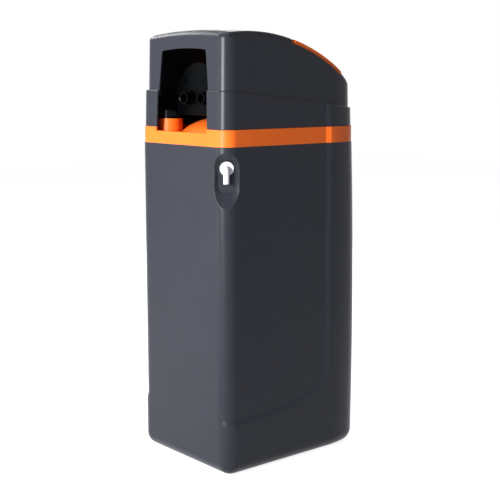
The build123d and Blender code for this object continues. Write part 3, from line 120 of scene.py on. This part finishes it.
# %% [markdown]
# The background is plain white, but light from all-white surroundings would wash a dark
# object out. So the world looks white to the camera, to reflections and through clear
# parts, and lights the object with a weak, slightly blue fill, which leaves the side dark.
# The Light Path node tells these rays apart, and the floor below uses the same trick.

# %% World
ambient_level = 0.22


def seen_directly(tree):
    """A socket that is 1 for rays from the camera, reflections and clear parts, and else 0."""
    path = add_node(tree, "ShaderNodeLightPath")
    seen = path.outputs["Is Camera Ray"]
    for kind in ("Is Glossy Ray", "Is Transmission Ray"):
        either = add_node(tree, "ShaderNodeMath", {0: seen, 1: path.outputs[kind]},
                          operation="ADD", use_clamp=True)
        seen = either.outputs[0]
    return seen


world = bpy.data.worlds.new("studio")
bpy.context.scene.world = world
world.use_nodes = True
world_tree = world.node_tree
world_tree.nodes.clear()
fill = add_node(world_tree, "ShaderNodeBackground",
                {"Color": linear("#EAF0FC"), "Strength": ambient_level})
white = add_node(world_tree, "ShaderNodeBackground", {"Color": linear("#FFFFFF"), "Strength": 1.0})
sky = add_node(world_tree, "ShaderNodeMixShader",
               {0: seen_directly(world_tree), 1: fill.outputs[0], 2: white.outputs[0]})
add_node(world_tree, "ShaderNodeOutputWorld", {"Surface": sky.outputs[0]})
bpy.context.scene.view_settings.view_transform = "Standard"
print("fill from the world:", ambient_level)

# %% [markdown]
# Dark plastic shows its form by what it mirrors, so every lamp is large and soft. A strong
# strip stands behind the cabinet, lights its back and is mirrored as a highlight in the
# round corner. The rear lamp adds a faint, even sheen to the back, and the kicker picks out
# the upper edges. One lamp hangs overhead, and the front lamp serves views from the far
# side.

# %% Lamps
lamp_target = Vector((0, 0, 0.6))


def softbox(name, place, width, height, watts, colour="#FFFFFF"):
    """A large area lamp that faces the cabinet."""
    data = bpy.data.lights.new(name, "AREA")
    data.shape = "RECTANGLE"
    data.size = width
    data.size_y = height
    data.energy = watts
    data.color = linear(colour)[:3]
    lamp = bpy.data.objects.new(name, data)
    lamp.location = place
    lamp.rotation_euler = (lamp_target - Vector(place)).to_track_quat("-Z", "Y").to_euler()
    bpy.context.scene.collection.objects.link(lamp)
    print(name, "lamp:", watts, "W")


softbox("rear", (1.5, 2.55, 0.8), width=1.2, height=1.6, watts=19, colour="#FFFDFA")
softbox("strip", (-0.5, 3.0, 1.2), width=0.8, height=1.0, watts=158)
softbox("kicker", (2.3, 1.0, 2.35), width=0.7, height=0.7, watts=36)
softbox("overhead", (0.2, -0.3, 3.4), width=2.4, height=2.4, watts=10)
softbox("front", (2.6, -2.4, 1.5), width=1.8, height=1.8, watts=40, colour="#F6F8FF")

# %% [markdown]
# The floor is one pale sheet. A plain white one would go dark towards its edges, away from
# the lamps. So most of what the camera sees of it is an even glow, and the rest is lit like
# any surface, which keeps a soft shadow at the foot of the cabinet.

# %% Floor
floor_half = 9.0
floor_glow = 0.88
floor_mesh = bpy.data.meshes.new("floor")
floor_corners = [(across * floor_half, along * floor_half, 0)
                 for across, along in ((-1, -1), (1, -1), (1, 1), (-1, 1))]
floor_mesh.from_pydata(floor_corners, [], [(0, 1, 2, 3)])
floor = bpy.data.objects.new("floor", floor_mesh)
bpy.context.scene.collection.objects.link(floor)
floor_material = bpy.data.materials.new("studio_floor")
floor_material.use_nodes = True
floor_tree = floor_material.node_tree
floor_tree.nodes.clear()
share = add_node(floor_tree, "ShaderNodeMath", {0: seen_directly(floor_tree), 1: floor_glow},
                 operation="MULTIPLY")
lit = add_node(floor_tree, "ShaderNodeBsdfDiffuse", {"Color": linear("#C4C4C6")})
glow = add_node(floor_tree, "ShaderNodeEmission",
                {"Color": linear("#FFFFFF"), "Strength": share.outputs[0]})
ground = add_node(floor_tree, "ShaderNodeAddShader", {0: lit.outputs[0], 1: glow.outputs[0]})
add_node(floor_tree, "ShaderNodeOutputMaterial", {"Surface": ground.outputs[0]})
floor_mesh.materials.append(floor_material)
print("floor:", 2 * floor_half, "m wide")

# %% [markdown]
# Every finish starts with the object's own coordinates, so that its pattern has a real
# size and stays on the piece when a joint moves it. It ends with one shader, whose inputs
# are constants or links. In between comes what makes the material what it is.

# %% Start and end of a finish
finishes = {}


def start_finish(use, name):
    """Makes the empty material for one use, and gives its tree and the object's coordinates."""
    material = bpy.data.materials.new(name)
    material.use_nodes = True
    material.node_tree.nodes.clear()
    finishes[use] = material
    print(use, "is", name)
    coordinates = add_node(material.node_tree, "ShaderNodeTexCoord")
    return material.node_tree, coordinates.outputs["Object"]


def end_finish(tree, sockets):
    """Ends a material with its shader, whose inputs are set or linked by name."""
    shader = add_node(tree, "ShaderNodeBsdfPrincipled", sockets)
    add_node(tree, "ShaderNodeOutputMaterial", {"Surface": shader.outputs[0]})


# %% [markdown]
# Most of the object is moulded plastic, and what tells one plastic from another is its
# gloss and the grain of the mould: spark-eroded steel leaves a fine leather of pits on the
# cabinet, and a polished mould leaves the valve's parts smoother. Every moulded finish
# below comes from one recipe with its own grain, pits, roughness and drift of colour. A
# slow noise drifts the colour, and a fine one makes both the pits and the play of gloss.
# Real pits could be displaced, but pits this small look the same as a bump.
# Dark and orange plastics get a specular share below a real one's, because the white
# surroundings mirror more in them than a studio's dark walls would.

# %% Recipe for moulded plastics
cloud_size = 70 * millimetre
noise_low = 0.3
noise_high = 0.7
gloss_swing = 0.06
least_roughness = 0.05
milk_share = 0.25
milk_reach = (1.0, 0.9, 0.8)


def moulded(use, name, colour, roughness, grain, pit, drift, specular=0.5, milk=0.0):
    """A moulded plastic. Its grain's width, its pits' depth and the depth that light goes
    into it (milk) are in millimetres, and drift is the share that its colour wanders."""
    tree, coordinates = start_finish(use, name)
    cloud = add_node(tree, "ShaderNodeTexNoise",
                     {"Vector": coordinates, "Scale": 1 / cloud_size, "Detail": 3.0})
    fine = add_node(tree, "ShaderNodeTexNoise",
                    {"Vector": coordinates, "Scale": 1 / (grain * millimetre), "Detail": 2.0,
                     "Roughness": 0.6})
    tone = add_node(tree, "ShaderNodeMapRange",
                    {"Value": cloud.outputs["Fac"], "From Min": noise_low, "From Max": noise_high,
                     "To Min": 1 - drift, "To Max": 1 + drift})
    paint = add_node(tree, "ShaderNodeVectorMath",
                     {0: linear(colour)[:3], "Scale": tone.outputs[0]}, operation="SCALE")
    gloss = add_node(tree, "ShaderNodeMapRange",
                     {"Value": fine.outputs["Fac"], "From Min": noise_low, "From Max": noise_high,
                      "To Min": max(roughness - gloss_swing, least_roughness),
                      "To Max": roughness + gloss_swing})
    bump = add_node(tree, "ShaderNodeBump",
                    {"Strength": 0.6, "Distance": pit * millimetre, "Height": fine.outputs["Fac"]})
    sockets = {"Base Color": paint.outputs[0], "Roughness": gloss.outputs[0],
               "Normal": bump.outputs[0], "Specular IOR Level": specular}
    if milk:
        sockets["Subsurface Weight"] = milk_share
        sockets["Subsurface Radius"] = milk_reach
        sockets["Subsurface Scale"] = milk * millimetre
    end_finish(tree, sockets)


# %% [markdown]
# The cabinet is polyethylene blown into a spark-eroded mould. Real pits are about 0.3 mm
# across, and they are drawn at 1.4 mm, since finer ones vanish at this distance. The deck,
# the lid and the panels are injection moulded, with a finer and shallower grain. One call
# of the recipe gives each of them, so that they differ only where the real ones do.

# %% Plastics of the cabinet
# A dull sheen over fine leather, with a broad, soft highlight on every rounded corner.
moulded("anthracite", "blow_moulded_polyethylene", "#282A32",
        roughness=0.31, grain=1.4, pit=0.12, drift=0.04, specular=0.16)
# A clean, even orange that keeps its colour where it mirrors the surroundings.
moulded("orange", "orange_moulded_abs", "#FF7222",
        roughness=0.42, grain=1.1, pit=0.05, drift=0.03, specular=0.22)
# The same resin in near black, which sets the panels off from the hood around them.
moulded("dark_panel", "dark_moulded_abs", "#1A1C22",
        roughness=0.36, grain=1.0, pit=0.08, drift=0.03, specular=0.2)

# %% [markdown]
# Inside, each part is moulded in what suits its work. The valve and its housing are
# glass-filled and nearly black. Water fittings are white or unpigmented polypropylene,
# which is milky because light goes a few millimetres in, and the gears are acetal. All
# grains are drawn coarser than real ones, so that they still show in a close view.

# %% Plastics of the works
# Nearly black, with faint flow marks in a smooth skin.
moulded("black_plastic", "glass_filled_moulding", "#030405",
        roughness=0.25, grain=2.2, pit=0.05, drift=0.08, specular=0.03)
# Bright and clean, a little soft where light goes in.
moulded("white_plastic", "white_polypropylene", "#E2E2E5",
        roughness=0.34, grain=1.6, pit=0.03, drift=0.015, milk=1.5)
# A waxy, milky cream.
moulded("natural_plastic", "natural_polypropylene", "#E4E0D3",
        roughness=0.38, grain=2.4, pit=0.04, drift=0.03, milk=4.0)
# Hard, even and slightly yellow, with a tighter highlight than the fittings'.
moulded("gear_plastic", "cut_acetal", "#ECE8DC",
        roughness=0.30, grain=1.2, pit=0.02, drift=0.02, milk=1.5)

# %% [markdown]
# Keys are silicone and seals are EPDM rubber. Both are matt, and the same recipe gives
# them with a high roughness and a low specular share.

# %% Rubbers
# Grey keys that look soft, because no edge has a sharp highlight.
moulded("button_rubber", "soft_silicone", "#4B4E57",
        roughness=0.62, grain=0.9, pit=0.03, drift=0.02, specular=0.3)
# Flat black with almost no highlight.
moulded("seal_rubber", "moulded_epdm", "#1A1A1B",
        roughness=0.70, grain=0.8, pit=0.04, drift=0.05, specular=0.3)

# %% [markdown]
# Screws, pins and clips are small parts of bright steel. Brushing leaves fine lines along
# one way. Lines could be drawn one by one, but a noise that is stretched far more along
# one axis than along the others gives them all at once.

# %% Brushed steel
# Highlights that streak across the lines, as on any brushed pin. The scales are cells of
# noise per metre.
scale_along_line = 90.0
scale_across_line = 3600.0
line_depth = 0.02 * millimetre
tree, coordinates = start_finish("steel", "brushed_steel")
stretch = add_node(tree, "ShaderNodeMapping",
                   {"Vector": coordinates,
                    "Scale": (scale_along_line, scale_along_line, scale_across_line)})
lines = add_node(tree, "ShaderNodeTexNoise",
                 {"Vector": stretch.outputs[0], "Scale": 1.0, "Detail": 4.0})
gloss = add_node(tree, "ShaderNodeMapRange",
                 {"Value": lines.outputs["Fac"], "To Min": 0.24, "To Max": 0.48})
bump = add_node(tree, "ShaderNodeBump",
                {"Strength": 0.4, "Distance": line_depth, "Height": lines.outputs["Fac"]})
end_finish(tree, {"Base Color": linear("#A4A6AA"), "Metallic": 1.0,
                  "Roughness": gloss.outputs[0], "Normal": bump.outputs[0]})

# %% [markdown]
# The motor's can is galvanised sheet. Zinc sets in flat crystals a few millimetres wide,
# each with its own shade and gloss. A Voronoi texture gives one colour to each cell, and
# here that colour sets both.

# %% Galvanised motor can
# A patchwork of slightly different greys, called spangle.
spangle_size = 3.5 * millimetre
tree, coordinates = start_finish("motor_steel", "galvanised_sheet")
spangle = add_node(tree, "ShaderNodeTexVoronoi",
                   {"Vector": coordinates, "Scale": 1 / spangle_size})
grey = add_node(tree, "ShaderNodeMapRange",
                {"Value": spangle.outputs["Color"], "To Min": 0.42, "To Max": 0.62})
gloss = add_node(tree, "ShaderNodeMapRange",
                 {"Value": spangle.outputs["Color"], "To Min": 0.24, "To Max": 0.48})
end_finish(tree, {"Base Color": grey.outputs[0], "Metallic": 1.0,
                  "Roughness": gloss.outputs[0]})

# %% [markdown]
# The resin vessel is a polyethylene liner wound with glass thread in epoxy. The threads
# cross as helices at about 35 degrees, so the pattern is two sine waves over the angle
# round the vessel's axis and the height. They meet without a seam, because the number of
# threads round it is whole. The waves set the shade between two grey-greens, and a slow
# noise makes them stronger in some places than in others.

# %% Threads round the vessel
# The second number is the waves' radians for each metre of height.
threads_round = 60.0
radians_up = 670.0
vessel_low, vessel_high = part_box("resin_tank")
vessel_axis_y = (vessel_low.y + vessel_high.y) / 2
tree, coordinates = start_finish("vessel", "filament_wound_epoxy")
centred = add_node(tree, "ShaderNodeMapping",
                   {"Vector": coordinates, "Location": (0.0, -vessel_axis_y, 0.0)})
axes = add_node(tree, "ShaderNodeSeparateXYZ", {0: centred.outputs[0]})
angle = add_node(tree, "ShaderNodeMath", {0: axes.outputs["Y"], 1: axes.outputs["X"]},
                 operation="ARCTAN2")
around = add_node(tree, "ShaderNodeMath", {0: angle.outputs[0], 1: threads_round},
                  operation="MULTIPLY")
upward = add_node(tree, "ShaderNodeMath", {0: axes.outputs["Z"], 1: radians_up},
                  operation="MULTIPLY")
waves = []
for way in ("ADD", "SUBTRACT"):
    slant = add_node(tree, "ShaderNodeMath", {0: around.outputs[0], 1: upward.outputs[0]},
                     operation=way)
    waves.append(add_node(tree, "ShaderNodeMath", {0: slant.outputs[0]}, operation="SINE"))
crossing = add_node(tree, "ShaderNodeMath", {0: waves[0].outputs[0], 1: waves[1].outputs[0]},
                    operation="MAXIMUM")
vessel_radius = (vessel_high.x - vessel_low.x) / 2
thread_angle = math.atan2(threads_round / radians_up, vessel_radius)
print("thread angle:", round(math.degrees(thread_angle), 1), "degrees")

# %% Filament-wound vessel
# A pale grey-green with a diamond weave under a clear gloss. A Mix node has a set of
# sockets for each kind of value, and its colour ones are found by these numbers.
blotch_size = 45 * millimetre
thread_depth = 0.3 * millimetre
first_colour = 6
second_colour = 7
mixed_colour = 2
blotch = add_node(tree, "ShaderNodeTexNoise",
                  {"Vector": coordinates, "Scale": 1 / blotch_size, "Detail": 4.0})
uneven = add_node(tree, "ShaderNodeMath",
                  {0: crossing.outputs[0], 1: blotch.outputs["Fac"], 2: blotch.outputs["Fac"]},
                  operation="MULTIPLY_ADD")
thread = add_node(tree, "ShaderNodeMix",
                  {0: uneven.outputs[0], first_colour: linear("#A9B0A6"),
                   second_colour: linear("#D6D8CC")}, data_type="RGBA")
bump = add_node(tree, "ShaderNodeBump",
                {"Strength": 0.5, "Distance": thread_depth, "Height": crossing.outputs[0]})
end_finish(tree, {"Base Color": thread.outputs[mixed_colour], "Roughness": 0.28,
                  "Normal": bump.outputs[0]})
print("vessel's axis at y", round(vessel_axis_y, 4))

# %% [markdown]
# The softening resin is amber beads about 0.6 mm across, drawn at 2.4 mm so that they
# show. Real beads would be millions of spheres, so a cell pattern stands in for them: the
# distance from each cell's middle gives the bead its dome by a bump, and a painted shade
# that darkens its colour towards the rim, where real beads shade each other.

# %% Resin beads
# A wet, translucent-looking heap of amber grains, each lighter in the middle and darker at the rim
# by painted shade.
bead_size = 2.4 * millimetre
bead_dome = 0.8 * millimetre
tree, coordinates = start_finish("resin", "amber_resin_beads")
cells = add_node(tree, "ShaderNodeTexVoronoi",
                 {"Vector": coordinates, "Scale": 1 / bead_size})
# Painted shade: the colour runs from light amber in each bead's middle to dark amber at its rim,
# where the beads would shade each other.
shade = add_node(tree, "ShaderNodeMix",
                 {0: cells.outputs["Distance"], first_colour: linear("#D39A3E"),
                  second_colour: linear("#6E3F10")}, data_type="RGBA")
bump = add_node(tree, "ShaderNodeBump",
                {"Strength": 0.9, "Distance": bead_dome, "Height": cells.outputs["Distance"]},
                invert=True)
end_finish(tree, {"Base Color": shade.outputs[mixed_colour], "Roughness": 0.22,
                  "Normal": bump.outputs[0]})

# %% [markdown]
# The valve's port discs are alumina, lapped flat so that they seal on each other. The
# moulded recipe gives it too, with hardly any pits and the tightest gloss of all.

# %% Lapped ceramic
# Smooth and faintly creamy, with a hint of grain.
moulded("ceramic", "lapped_alumina", "#E9E4D9",
        roughness=0.16, grain=0.7, pit=0.01, drift=0.02, specular=0.6)

# %% [markdown]
# The circuit boards are glass epoxy under a green solder mask. Copper runs show through
# the mask as slightly lighter lines. Real runs could be drawn as curves, but at this size
# the joints of a brick pattern with long, thin bricks give the same look.

# %% Circuit boards
# Deep green with fine, lighter copper lines.
run_length = 9 * millimetre
run_spacing = 1.6 * millimetre
run_width = 0.25 * millimetre
tree, coordinates = start_finish("board", "solder_masked_board")
runs = add_node(tree, "ShaderNodeTexBrick",
                {"Vector": coordinates, "Color1": linear("#0D4A2B"), "Color2": linear("#0B4025"),
                 "Mortar": linear("#2B8052"), "Scale": 1.0, "Mortar Size": run_width,
                 "Brick Width": run_length, "Row Height": run_spacing})
end_finish(tree, {"Base Color": runs.outputs["Color"], "Roughness": 0.3})

# %% [markdown]
# The display is a liquid crystal cell with a weak backlight, and in front of it is a window
# of clear acrylic. The cell glows a little by emission, and the window lets light through
# with the refraction of acrylic, so it shows by its edges and its own reflection.

# %% Screen
# A faintly glowing grey-green field, hazy like a real cell.
haze_size = 12 * millimetre
tree, coordinates = start_finish("screen", "liquid_crystal_cell")
haze = add_node(tree, "ShaderNodeTexNoise",
                {"Vector": coordinates, "Scale": 1 / haze_size, "Detail": 1.0})
cell = add_node(tree, "ShaderNodeMix",
                {0: haze.outputs["Fac"], first_colour: linear("#A9BFA8"),
                 second_colour: linear("#B9CCB6")}, data_type="RGBA")
end_finish(tree, {"Base Color": cell.outputs[mixed_colour], "Roughness": 0.35,
                  "Emission Color": linear("#B4D2C0"), "Emission Strength": 0.12})

# %% Window
# Clear, with a polish that a slow noise breaks up a little.
film_size = 8 * millimetre
acrylic_ior = 1.49
tree, coordinates = start_finish("lens", "clear_acrylic")
film = add_node(tree, "ShaderNodeTexNoise",
                {"Vector": coordinates, "Scale": 1 / film_size, "Detail": 2.0})
gloss = add_node(tree, "ShaderNodeMapRange",
                 {"Value": film.outputs["Fac"], "To Min": 0.02, "To Max": 0.08})
end_finish(tree, {"Base Color": linear("#DDE3E6"), "Roughness": gloss.outputs[0],
                  "Transmission Weight": 1.0, "IOR": acrylic_ior})

# %% [markdown]
# Each solid could be given its finish by name. The record already says which slot each
# one belongs to, so one loop dresses all of them.

# %% Dress the solids
for row in frame["record"]["subparts"]:
    solid = nodes[row["node"]]
    if not solid.material_slots:
        solid.data.materials.append(None)
    for place in solid.material_slots:
        place.material = finishes[row["material_slot"]]
print("finishes:", len(finishes))

# %% [markdown]
# What repeats is made with Geometry Nodes. A tree is built in the script with named inputs,
# run once on a carrier object, and its result is kept as a plain mesh. Copies made in a
# loop would do as well, but a tree keeps its sizes in one place. The carrier and its
# modifier are then removed.

# %% Geometry Nodes helpers
def start_tree(name, inputs):
    """A Geometry Nodes tree with named inputs, and its input and output nodes."""
    tree = bpy.data.node_groups.new(name, "GeometryNodeTree")
    tree.interface.new_socket("Geometry", in_out="INPUT", socket_type="NodeSocketGeometry")
    for label, kind in inputs.items():
        tree.interface.new_socket(label, in_out="INPUT", socket_type=kind)
    tree.interface.new_socket("Geometry", in_out="OUTPUT", socket_type="NodeSocketGeometry")
    print("tree", name, "takes", ", ".join(inputs))
    return tree, tree.nodes.new("NodeGroupInput"), tree.nodes.new("NodeGroupOutput")


def end_tree(tree, output, geometry, material):
    """Realizes the instances, gives them their material and ends the tree."""
    real = add_node(tree, "GeometryNodeRealizeInstances", {0: geometry})
    dressed = add_node(tree, "GeometryNodeSetMaterial", {0: real.outputs[0], "Material": material})
    tree.links.new(dressed.outputs[0], output.inputs[0])


def run_tree(tree, name, values, seed_mesh=None):
    """Runs a tree once and keeps what it makes as a plain mesh object."""
    carrier_mesh = seed_mesh or bpy.data.meshes.new(name + "_seed")
    carrier = bpy.data.objects.new(name + "_carrier", carrier_mesh)
    bpy.context.scene.collection.objects.link(carrier)
    modifier = carrier.modifiers.new("repeat", "NODES")
    modifier.node_group = tree
    for item in tree.interface.items_tree:
        if item.in_out == "INPUT" and item.name in values:
            modifier[item.identifier] = values[item.name]
    bpy.context.view_layer.update()
    evaluated = carrier.evaluated_get(bpy.context.evaluated_depsgraph_get())
    mesh = bpy.data.meshes.new_from_object(evaluated)
    mesh.name = name
    bpy.data.objects.remove(carrier)
    piece = bpy.data.objects.new(name, mesh)
    bpy.context.scene.collection.objects.link(piece)
    print(name, "faces:", len(mesh.polygons))
    return piece


# %% [markdown]
# The brine well's cap has grip ribs round its skirt, half-round and evenly spaced: a
# circle of points, and on each a slim cylinder that is half sunk in the skirt. Such a piece
# rides on the body that it is fixed to, so that it moves with it, and takes one of the
# record's slots.

# %% Grip ribs
rib_count = 44
rib_sides = 10
rib_radius = 0.9 * millimetre
skirt_low = 7.5 * millimetre
skirt_high = 19.5 * millimetre
ribs_tree, given, result = start_tree(
    "grip_ribs", {"Count": "NodeSocketInt", "Radius": "NodeSocketFloat",
                  "Rib radius": "NodeSocketFloat", "Rib length": "NodeSocketFloat"})
circle = add_node(ribs_tree, "GeometryNodeMeshCircle",
                  {"Vertices": given.outputs["Count"], "Radius": given.outputs["Radius"]})
rib = add_node(ribs_tree, "GeometryNodeMeshCylinder",
               {"Vertices": rib_sides, "Radius": given.outputs["Rib radius"],
                "Depth": given.outputs["Rib length"]})
ribs = add_node(ribs_tree, "GeometryNodeInstanceOnPoints",
                {"Points": circle.outputs[0], "Instance": rib.outputs[0]})
end_tree(ribs_tree, result, ribs.outputs[0], finishes["black_plastic"])

# %% Put the ribs round the cap
cap_low, cap_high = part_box("well_cap")
cap_middle = (cap_low + cap_high) / 2
cap_ribs = run_tree(ribs_tree, "well_cap_ribs", {
    "Count": rib_count, "Radius": (cap_high.x - cap_low.x) / 2, "Rib radius": rib_radius,
    "Rib length": skirt_high - skirt_low})
cap_ribs.data.transform(Matrix.Translation(
    (cap_middle.x, cap_middle.y, cap_low.z + (skirt_low + skirt_high) / 2)))
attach(cap_ribs, "cabinet")
print("ribs stand", round(cap_low.z + skirt_low, 4), "m above the floor")

# %% [markdown]
# The display shows the time in seven-segment digits. Each lit segment is a point with a
# turn, and the tree puts a long thin hexagon on it, half sunk in the glass. A font would
# be quicker, but its round letters aren't what such a cell can show.

# %% Places of the lit segments
# Each segment's place in the digit, in half segments across and up, and its quarter turns.
segment_places = {"a": (0, 2, 0), "b": (1, 1, 1), "c": (1, -1, 1), "d": (0, -2, 0),
                  "e": (-1, -1, 1), "f": (-1, 1, 1), "g": (0, 0, 0)}
digit_segments = {"0": "abcdef", "1": "bc", "2": "abged", "3": "abgcd"}
shown_time = "1230"
digit_step = 12.5 * millimetre
segment_half = 3.4 * millimetre
screen_low, screen_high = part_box("display")
screen_middle = (screen_low + screen_high) / 2
points = []
turns = []
for index, digit in enumerate(shown_time):
    digit_x = (index - (len(shown_time) - 1) / 2) * digit_step
    digit_x = digit_x + math.copysign(segment_half / 2, digit_x)
    for segment in digit_segments[digit]:
        across, up, turn = segment_places[segment]
        points.append((screen_middle.x + digit_x + across * segment_half,
                       screen_middle.y + up * segment_half, screen_high.z))
        turns.append(turn * math.pi / 2)
digit_mesh = bpy.data.meshes.new("digit_points")
digit_mesh.from_pydata(points, [], [])
digit_mesh.attributes.new("turn", "FLOAT", "POINT").data.foreach_set("value", turns)
print("lit segments:", len(points))

# %% Ink of the digits
# Dark crystal, a greenish black that is softer than print.
crystal_size = 2 * millimetre
tree, coordinates = start_finish("digits", "dark_crystal")
haze = add_node(tree, "ShaderNodeTexNoise", {"Vector": coordinates, "Scale": 1 / crystal_size})
dark = add_node(tree, "ShaderNodeMix",
                {0: haze.outputs["Fac"], first_colour: linear("#1C2420"),
                 second_colour: linear("#27312B")}, data_type="RGBA")
end_finish(tree, {"Base Color": dark.outputs[mixed_colour], "Roughness": 0.4})

# %% Screen digits
hexagon_sides = 6
segment_width = 1.5 * millimetre
segment_thickness = 0.3 * millimetre
segment_length_share = 1.8
digits_tree, given, result = start_tree(
    "segment_digits", {"Length": "NodeSocketFloat", "Width": "NodeSocketFloat",
                       "Thickness": "NodeSocketFloat"})
hexagon = add_node(digits_tree, "GeometryNodeMeshCylinder",
                   {"Vertices": hexagon_sides, "Radius": 0.5, "Depth": 1.0})
size = add_node(digits_tree, "ShaderNodeCombineXYZ",
                {0: given.outputs["Length"], 1: given.outputs["Width"],
                 2: given.outputs["Thickness"]})
shaped = add_node(digits_tree, "GeometryNodeTransform",
                  {0: hexagon.outputs[0], "Scale": size.outputs[0]})
turned = add_node(digits_tree, "GeometryNodeInputNamedAttribute", {"Name": "turn"},
                  data_type="FLOAT")
spin = add_node(digits_tree, "ShaderNodeCombineXYZ", {2: turned.outputs[0]})
placed = add_node(digits_tree, "GeometryNodeInstanceOnPoints",
                  {"Points": given.outputs[0], "Instance": shaped.outputs[0],
                   "Rotation": spin.outputs[0]})
end_tree(digits_tree, result, placed.outputs[0], finishes["digits"])
digits = run_tree(digits_tree, "screen_digits", {
    "Length": segment_half * segment_length_share, "Width": segment_width,
    "Thickness": segment_thickness}, digit_mesh)
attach(digits, "hood")

# %% [markdown]
# Each key carries a plain sign in pale ink: up, down, a ring for the menu and a bar for
# confirming. A sign is a flat outline, drawn about the key's middle and raised by the
# thickness of a print. A picture on the key would do for one view, but a piece stays sharp
# in any close view and presses down with its key.

# %% Ink of the signs
# Matt pale grey, a little uneven as pad printing is.
print_grain = 1.5 * millimetre
tree, coordinates = start_finish("signs", "pale_pad_print")
haze = add_node(tree, "ShaderNodeTexNoise", {"Vector": coordinates, "Scale": 1 / print_grain})
pale = add_node(tree, "ShaderNodeMix",
                {0: haze.outputs["Fac"], first_colour: linear("#C9CBD0"),
                 second_colour: linear("#DADBDF")}, data_type="RGBA")
end_finish(tree, {"Base Color": pale.outputs[mixed_colour], "Roughness": 0.55})

# %% Outlines of the signs
arrow_half = 2.2 * millimetre
arrow_foot = 1.4 * millimetre
ring_outer = 2.3 * millimetre
ring_inner = 1.6 * millimetre
ring_points = 24
bar_half = 2.3 * millimetre
bar_rise = 0.7 * millimetre


def ring_outline():
    """The faces of a flat ring, each as its corner points."""
    faces = []
    for step in range(ring_points):
        start, end = (2 * math.pi * (step + part) / ring_points for part in (0, 1))
        corners = ((ring_inner, start), (ring_outer, start), (ring_outer, end), (ring_inner, end))
        faces.append([(radius * math.cos(turn), radius * math.sin(turn))
                      for radius, turn in corners])
    return faces


sign_faces = {
    "button_1": [[(-arrow_half, -arrow_foot), (arrow_half, -arrow_foot), (0, arrow_half)]],
    "button_2": [[(-arrow_half, arrow_foot), (0, -arrow_half), (arrow_half, arrow_foot)]],
    "button_3": ring_outline(),
    "button_4": [[(-bar_half, -bar_rise), (bar_half, -bar_rise), (bar_half, bar_rise),
                  (-bar_half, bar_rise)]],
}
print("signs:", ", ".join(sign_faces))

# %% Signs on the keys
ink_height = 0.12 * millimetre
merge_distance = 0.01 * millimetre
for key, faces in sign_faces.items():
    key_low, key_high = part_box(key)
    middle = (key_low + key_high) / 2
    sign_form = bmesh.new()
    for face in faces:
        corners = [sign_form.verts.new((middle.x + x, middle.y + y, key_high.z))
                   for x, y in face]
        sign_form.faces.new(corners)
    bmesh.ops.remove_doubles(sign_form, verts=sign_form.verts, dist=merge_distance)
    raised = bmesh.ops.extrude_face_region(sign_form, geom=sign_form.faces[:])
    tops = [part for part in raised["geom"] if isinstance(part, bmesh.types.BMVert)]
    bmesh.ops.translate(sign_form, verts=tops, vec=(0, 0, ink_height))
    bmesh.ops.recalc_face_normals(sign_form, faces=sign_form.faces)
    sign_mesh = bpy.data.meshes.new(key + "_sign")
    sign_form.to_mesh(sign_mesh)
    sign_form.free()
    sign_mesh.materials.append(finishes["signs"])
    sign = bpy.data.objects.new(key + "_sign", sign_mesh)
    bpy.context.scene.collection.objects.link(sign)
    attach(sign, key)
    print(sign.name, "faces:", len(sign_mesh.polygons))

# %% [markdown]
# A bare green board would look unfinished, so small surface-mount parts are set out on both
# boards: a grid of places, some left empty, with a chip of random size and a quarter turn
# on some. A layout by hand would take long and look no better inside a housing. The seed
# is fixed, so every run gives the same board.

# %% A layout of small parts
# The parts are matt black epoxy, which breaks the green up. The last number finds the
# socket of a Random Value node that holds a choice of true or false.
grid_columns = 13
grid_rows = 6
filled_share = 0.62
turned_share = 0.4
chip_size = (3.0 * millimetre, 1.6 * millimetre, 1.0 * millimetre)
smallest_shares = (0.7, 0.8, 0.7)
largest_shares = (1.5, 1.9, 1.6)
random_choice = 3
moulded("chips", "moulded_epoxy_chip", "#121315", roughness=0.5, grain=1.0, pit=0.02, drift=0.05)
chips_tree, given, result = start_tree(
    "board_parts", {"Length": "NodeSocketFloat", "Width": "NodeSocketFloat",
                    "Seed": "NodeSocketInt"})
grid = add_node(chips_tree, "GeometryNodeMeshGrid",
                {"Size X": given.outputs["Length"], "Size Y": given.outputs["Width"],
                 "Vertices X": grid_columns, "Vertices Y": grid_rows})
kept = add_node(chips_tree, "FunctionNodeRandomValue",
                {"Probability": filled_share, "Seed": given.outputs["Seed"]}, data_type="BOOLEAN")
quarter = add_node(chips_tree, "FunctionNodeRandomValue",
                   {"Probability": turned_share, "Seed": given.outputs["Seed"]},
                   data_type="BOOLEAN")
turn = add_node(chips_tree, "ShaderNodeMath",
                {0: quarter.outputs[random_choice], 1: math.pi / 2}, operation="MULTIPLY")
turned = add_node(chips_tree, "ShaderNodeCombineXYZ", {2: turn.outputs[0]})
growth = add_node(chips_tree, "FunctionNodeRandomValue",
                  {0: smallest_shares, 1: largest_shares, "Seed": given.outputs["Seed"]},
                  data_type="FLOAT_VECTOR")
chip = add_node(chips_tree, "GeometryNodeMeshCube", {"Size": chip_size})
placed = add_node(chips_tree, "GeometryNodeInstanceOnPoints",
                  {"Points": grid.outputs[0], "Selection": kept.outputs[random_choice],
                   "Instance": chip.outputs[0], "Rotation": turned.outputs[0],
                   "Scale": growth.outputs[0]})
end_tree(chips_tree, result, placed.outputs[0], finishes["chips"])

# %% Parts on the circuit boards
panel_low, panel_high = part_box("control_board")
drive_low, drive_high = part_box("drive_board")
panel_place = Matrix.Translation((0, (panel_low.y + panel_high.y) / 2, panel_low.z))
drive_place = Matrix.Translation((0, drive_low.y, (drive_low.z + drive_high.z) / 2))
upright = Matrix.Rotation(math.pi / 2, 4, "X")
# Each row: the piece, its body, the field's length and width, the seed and the place.
board_rows = (
    ("control_board_parts", "hood", 118 * millimetre, 44 * millimetre, 3, panel_place),
    ("drive_board_parts", "cabinet", 74 * millimetre, 26 * millimetre, 8, drive_place @ upright),
)
for name, body, length, width, seed, place in board_rows:
    chips = run_tree(chips_tree, name, {"Length": length, "Width": width, "Seed": seed})
    chips.data.transform(place)
    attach(chips, body)
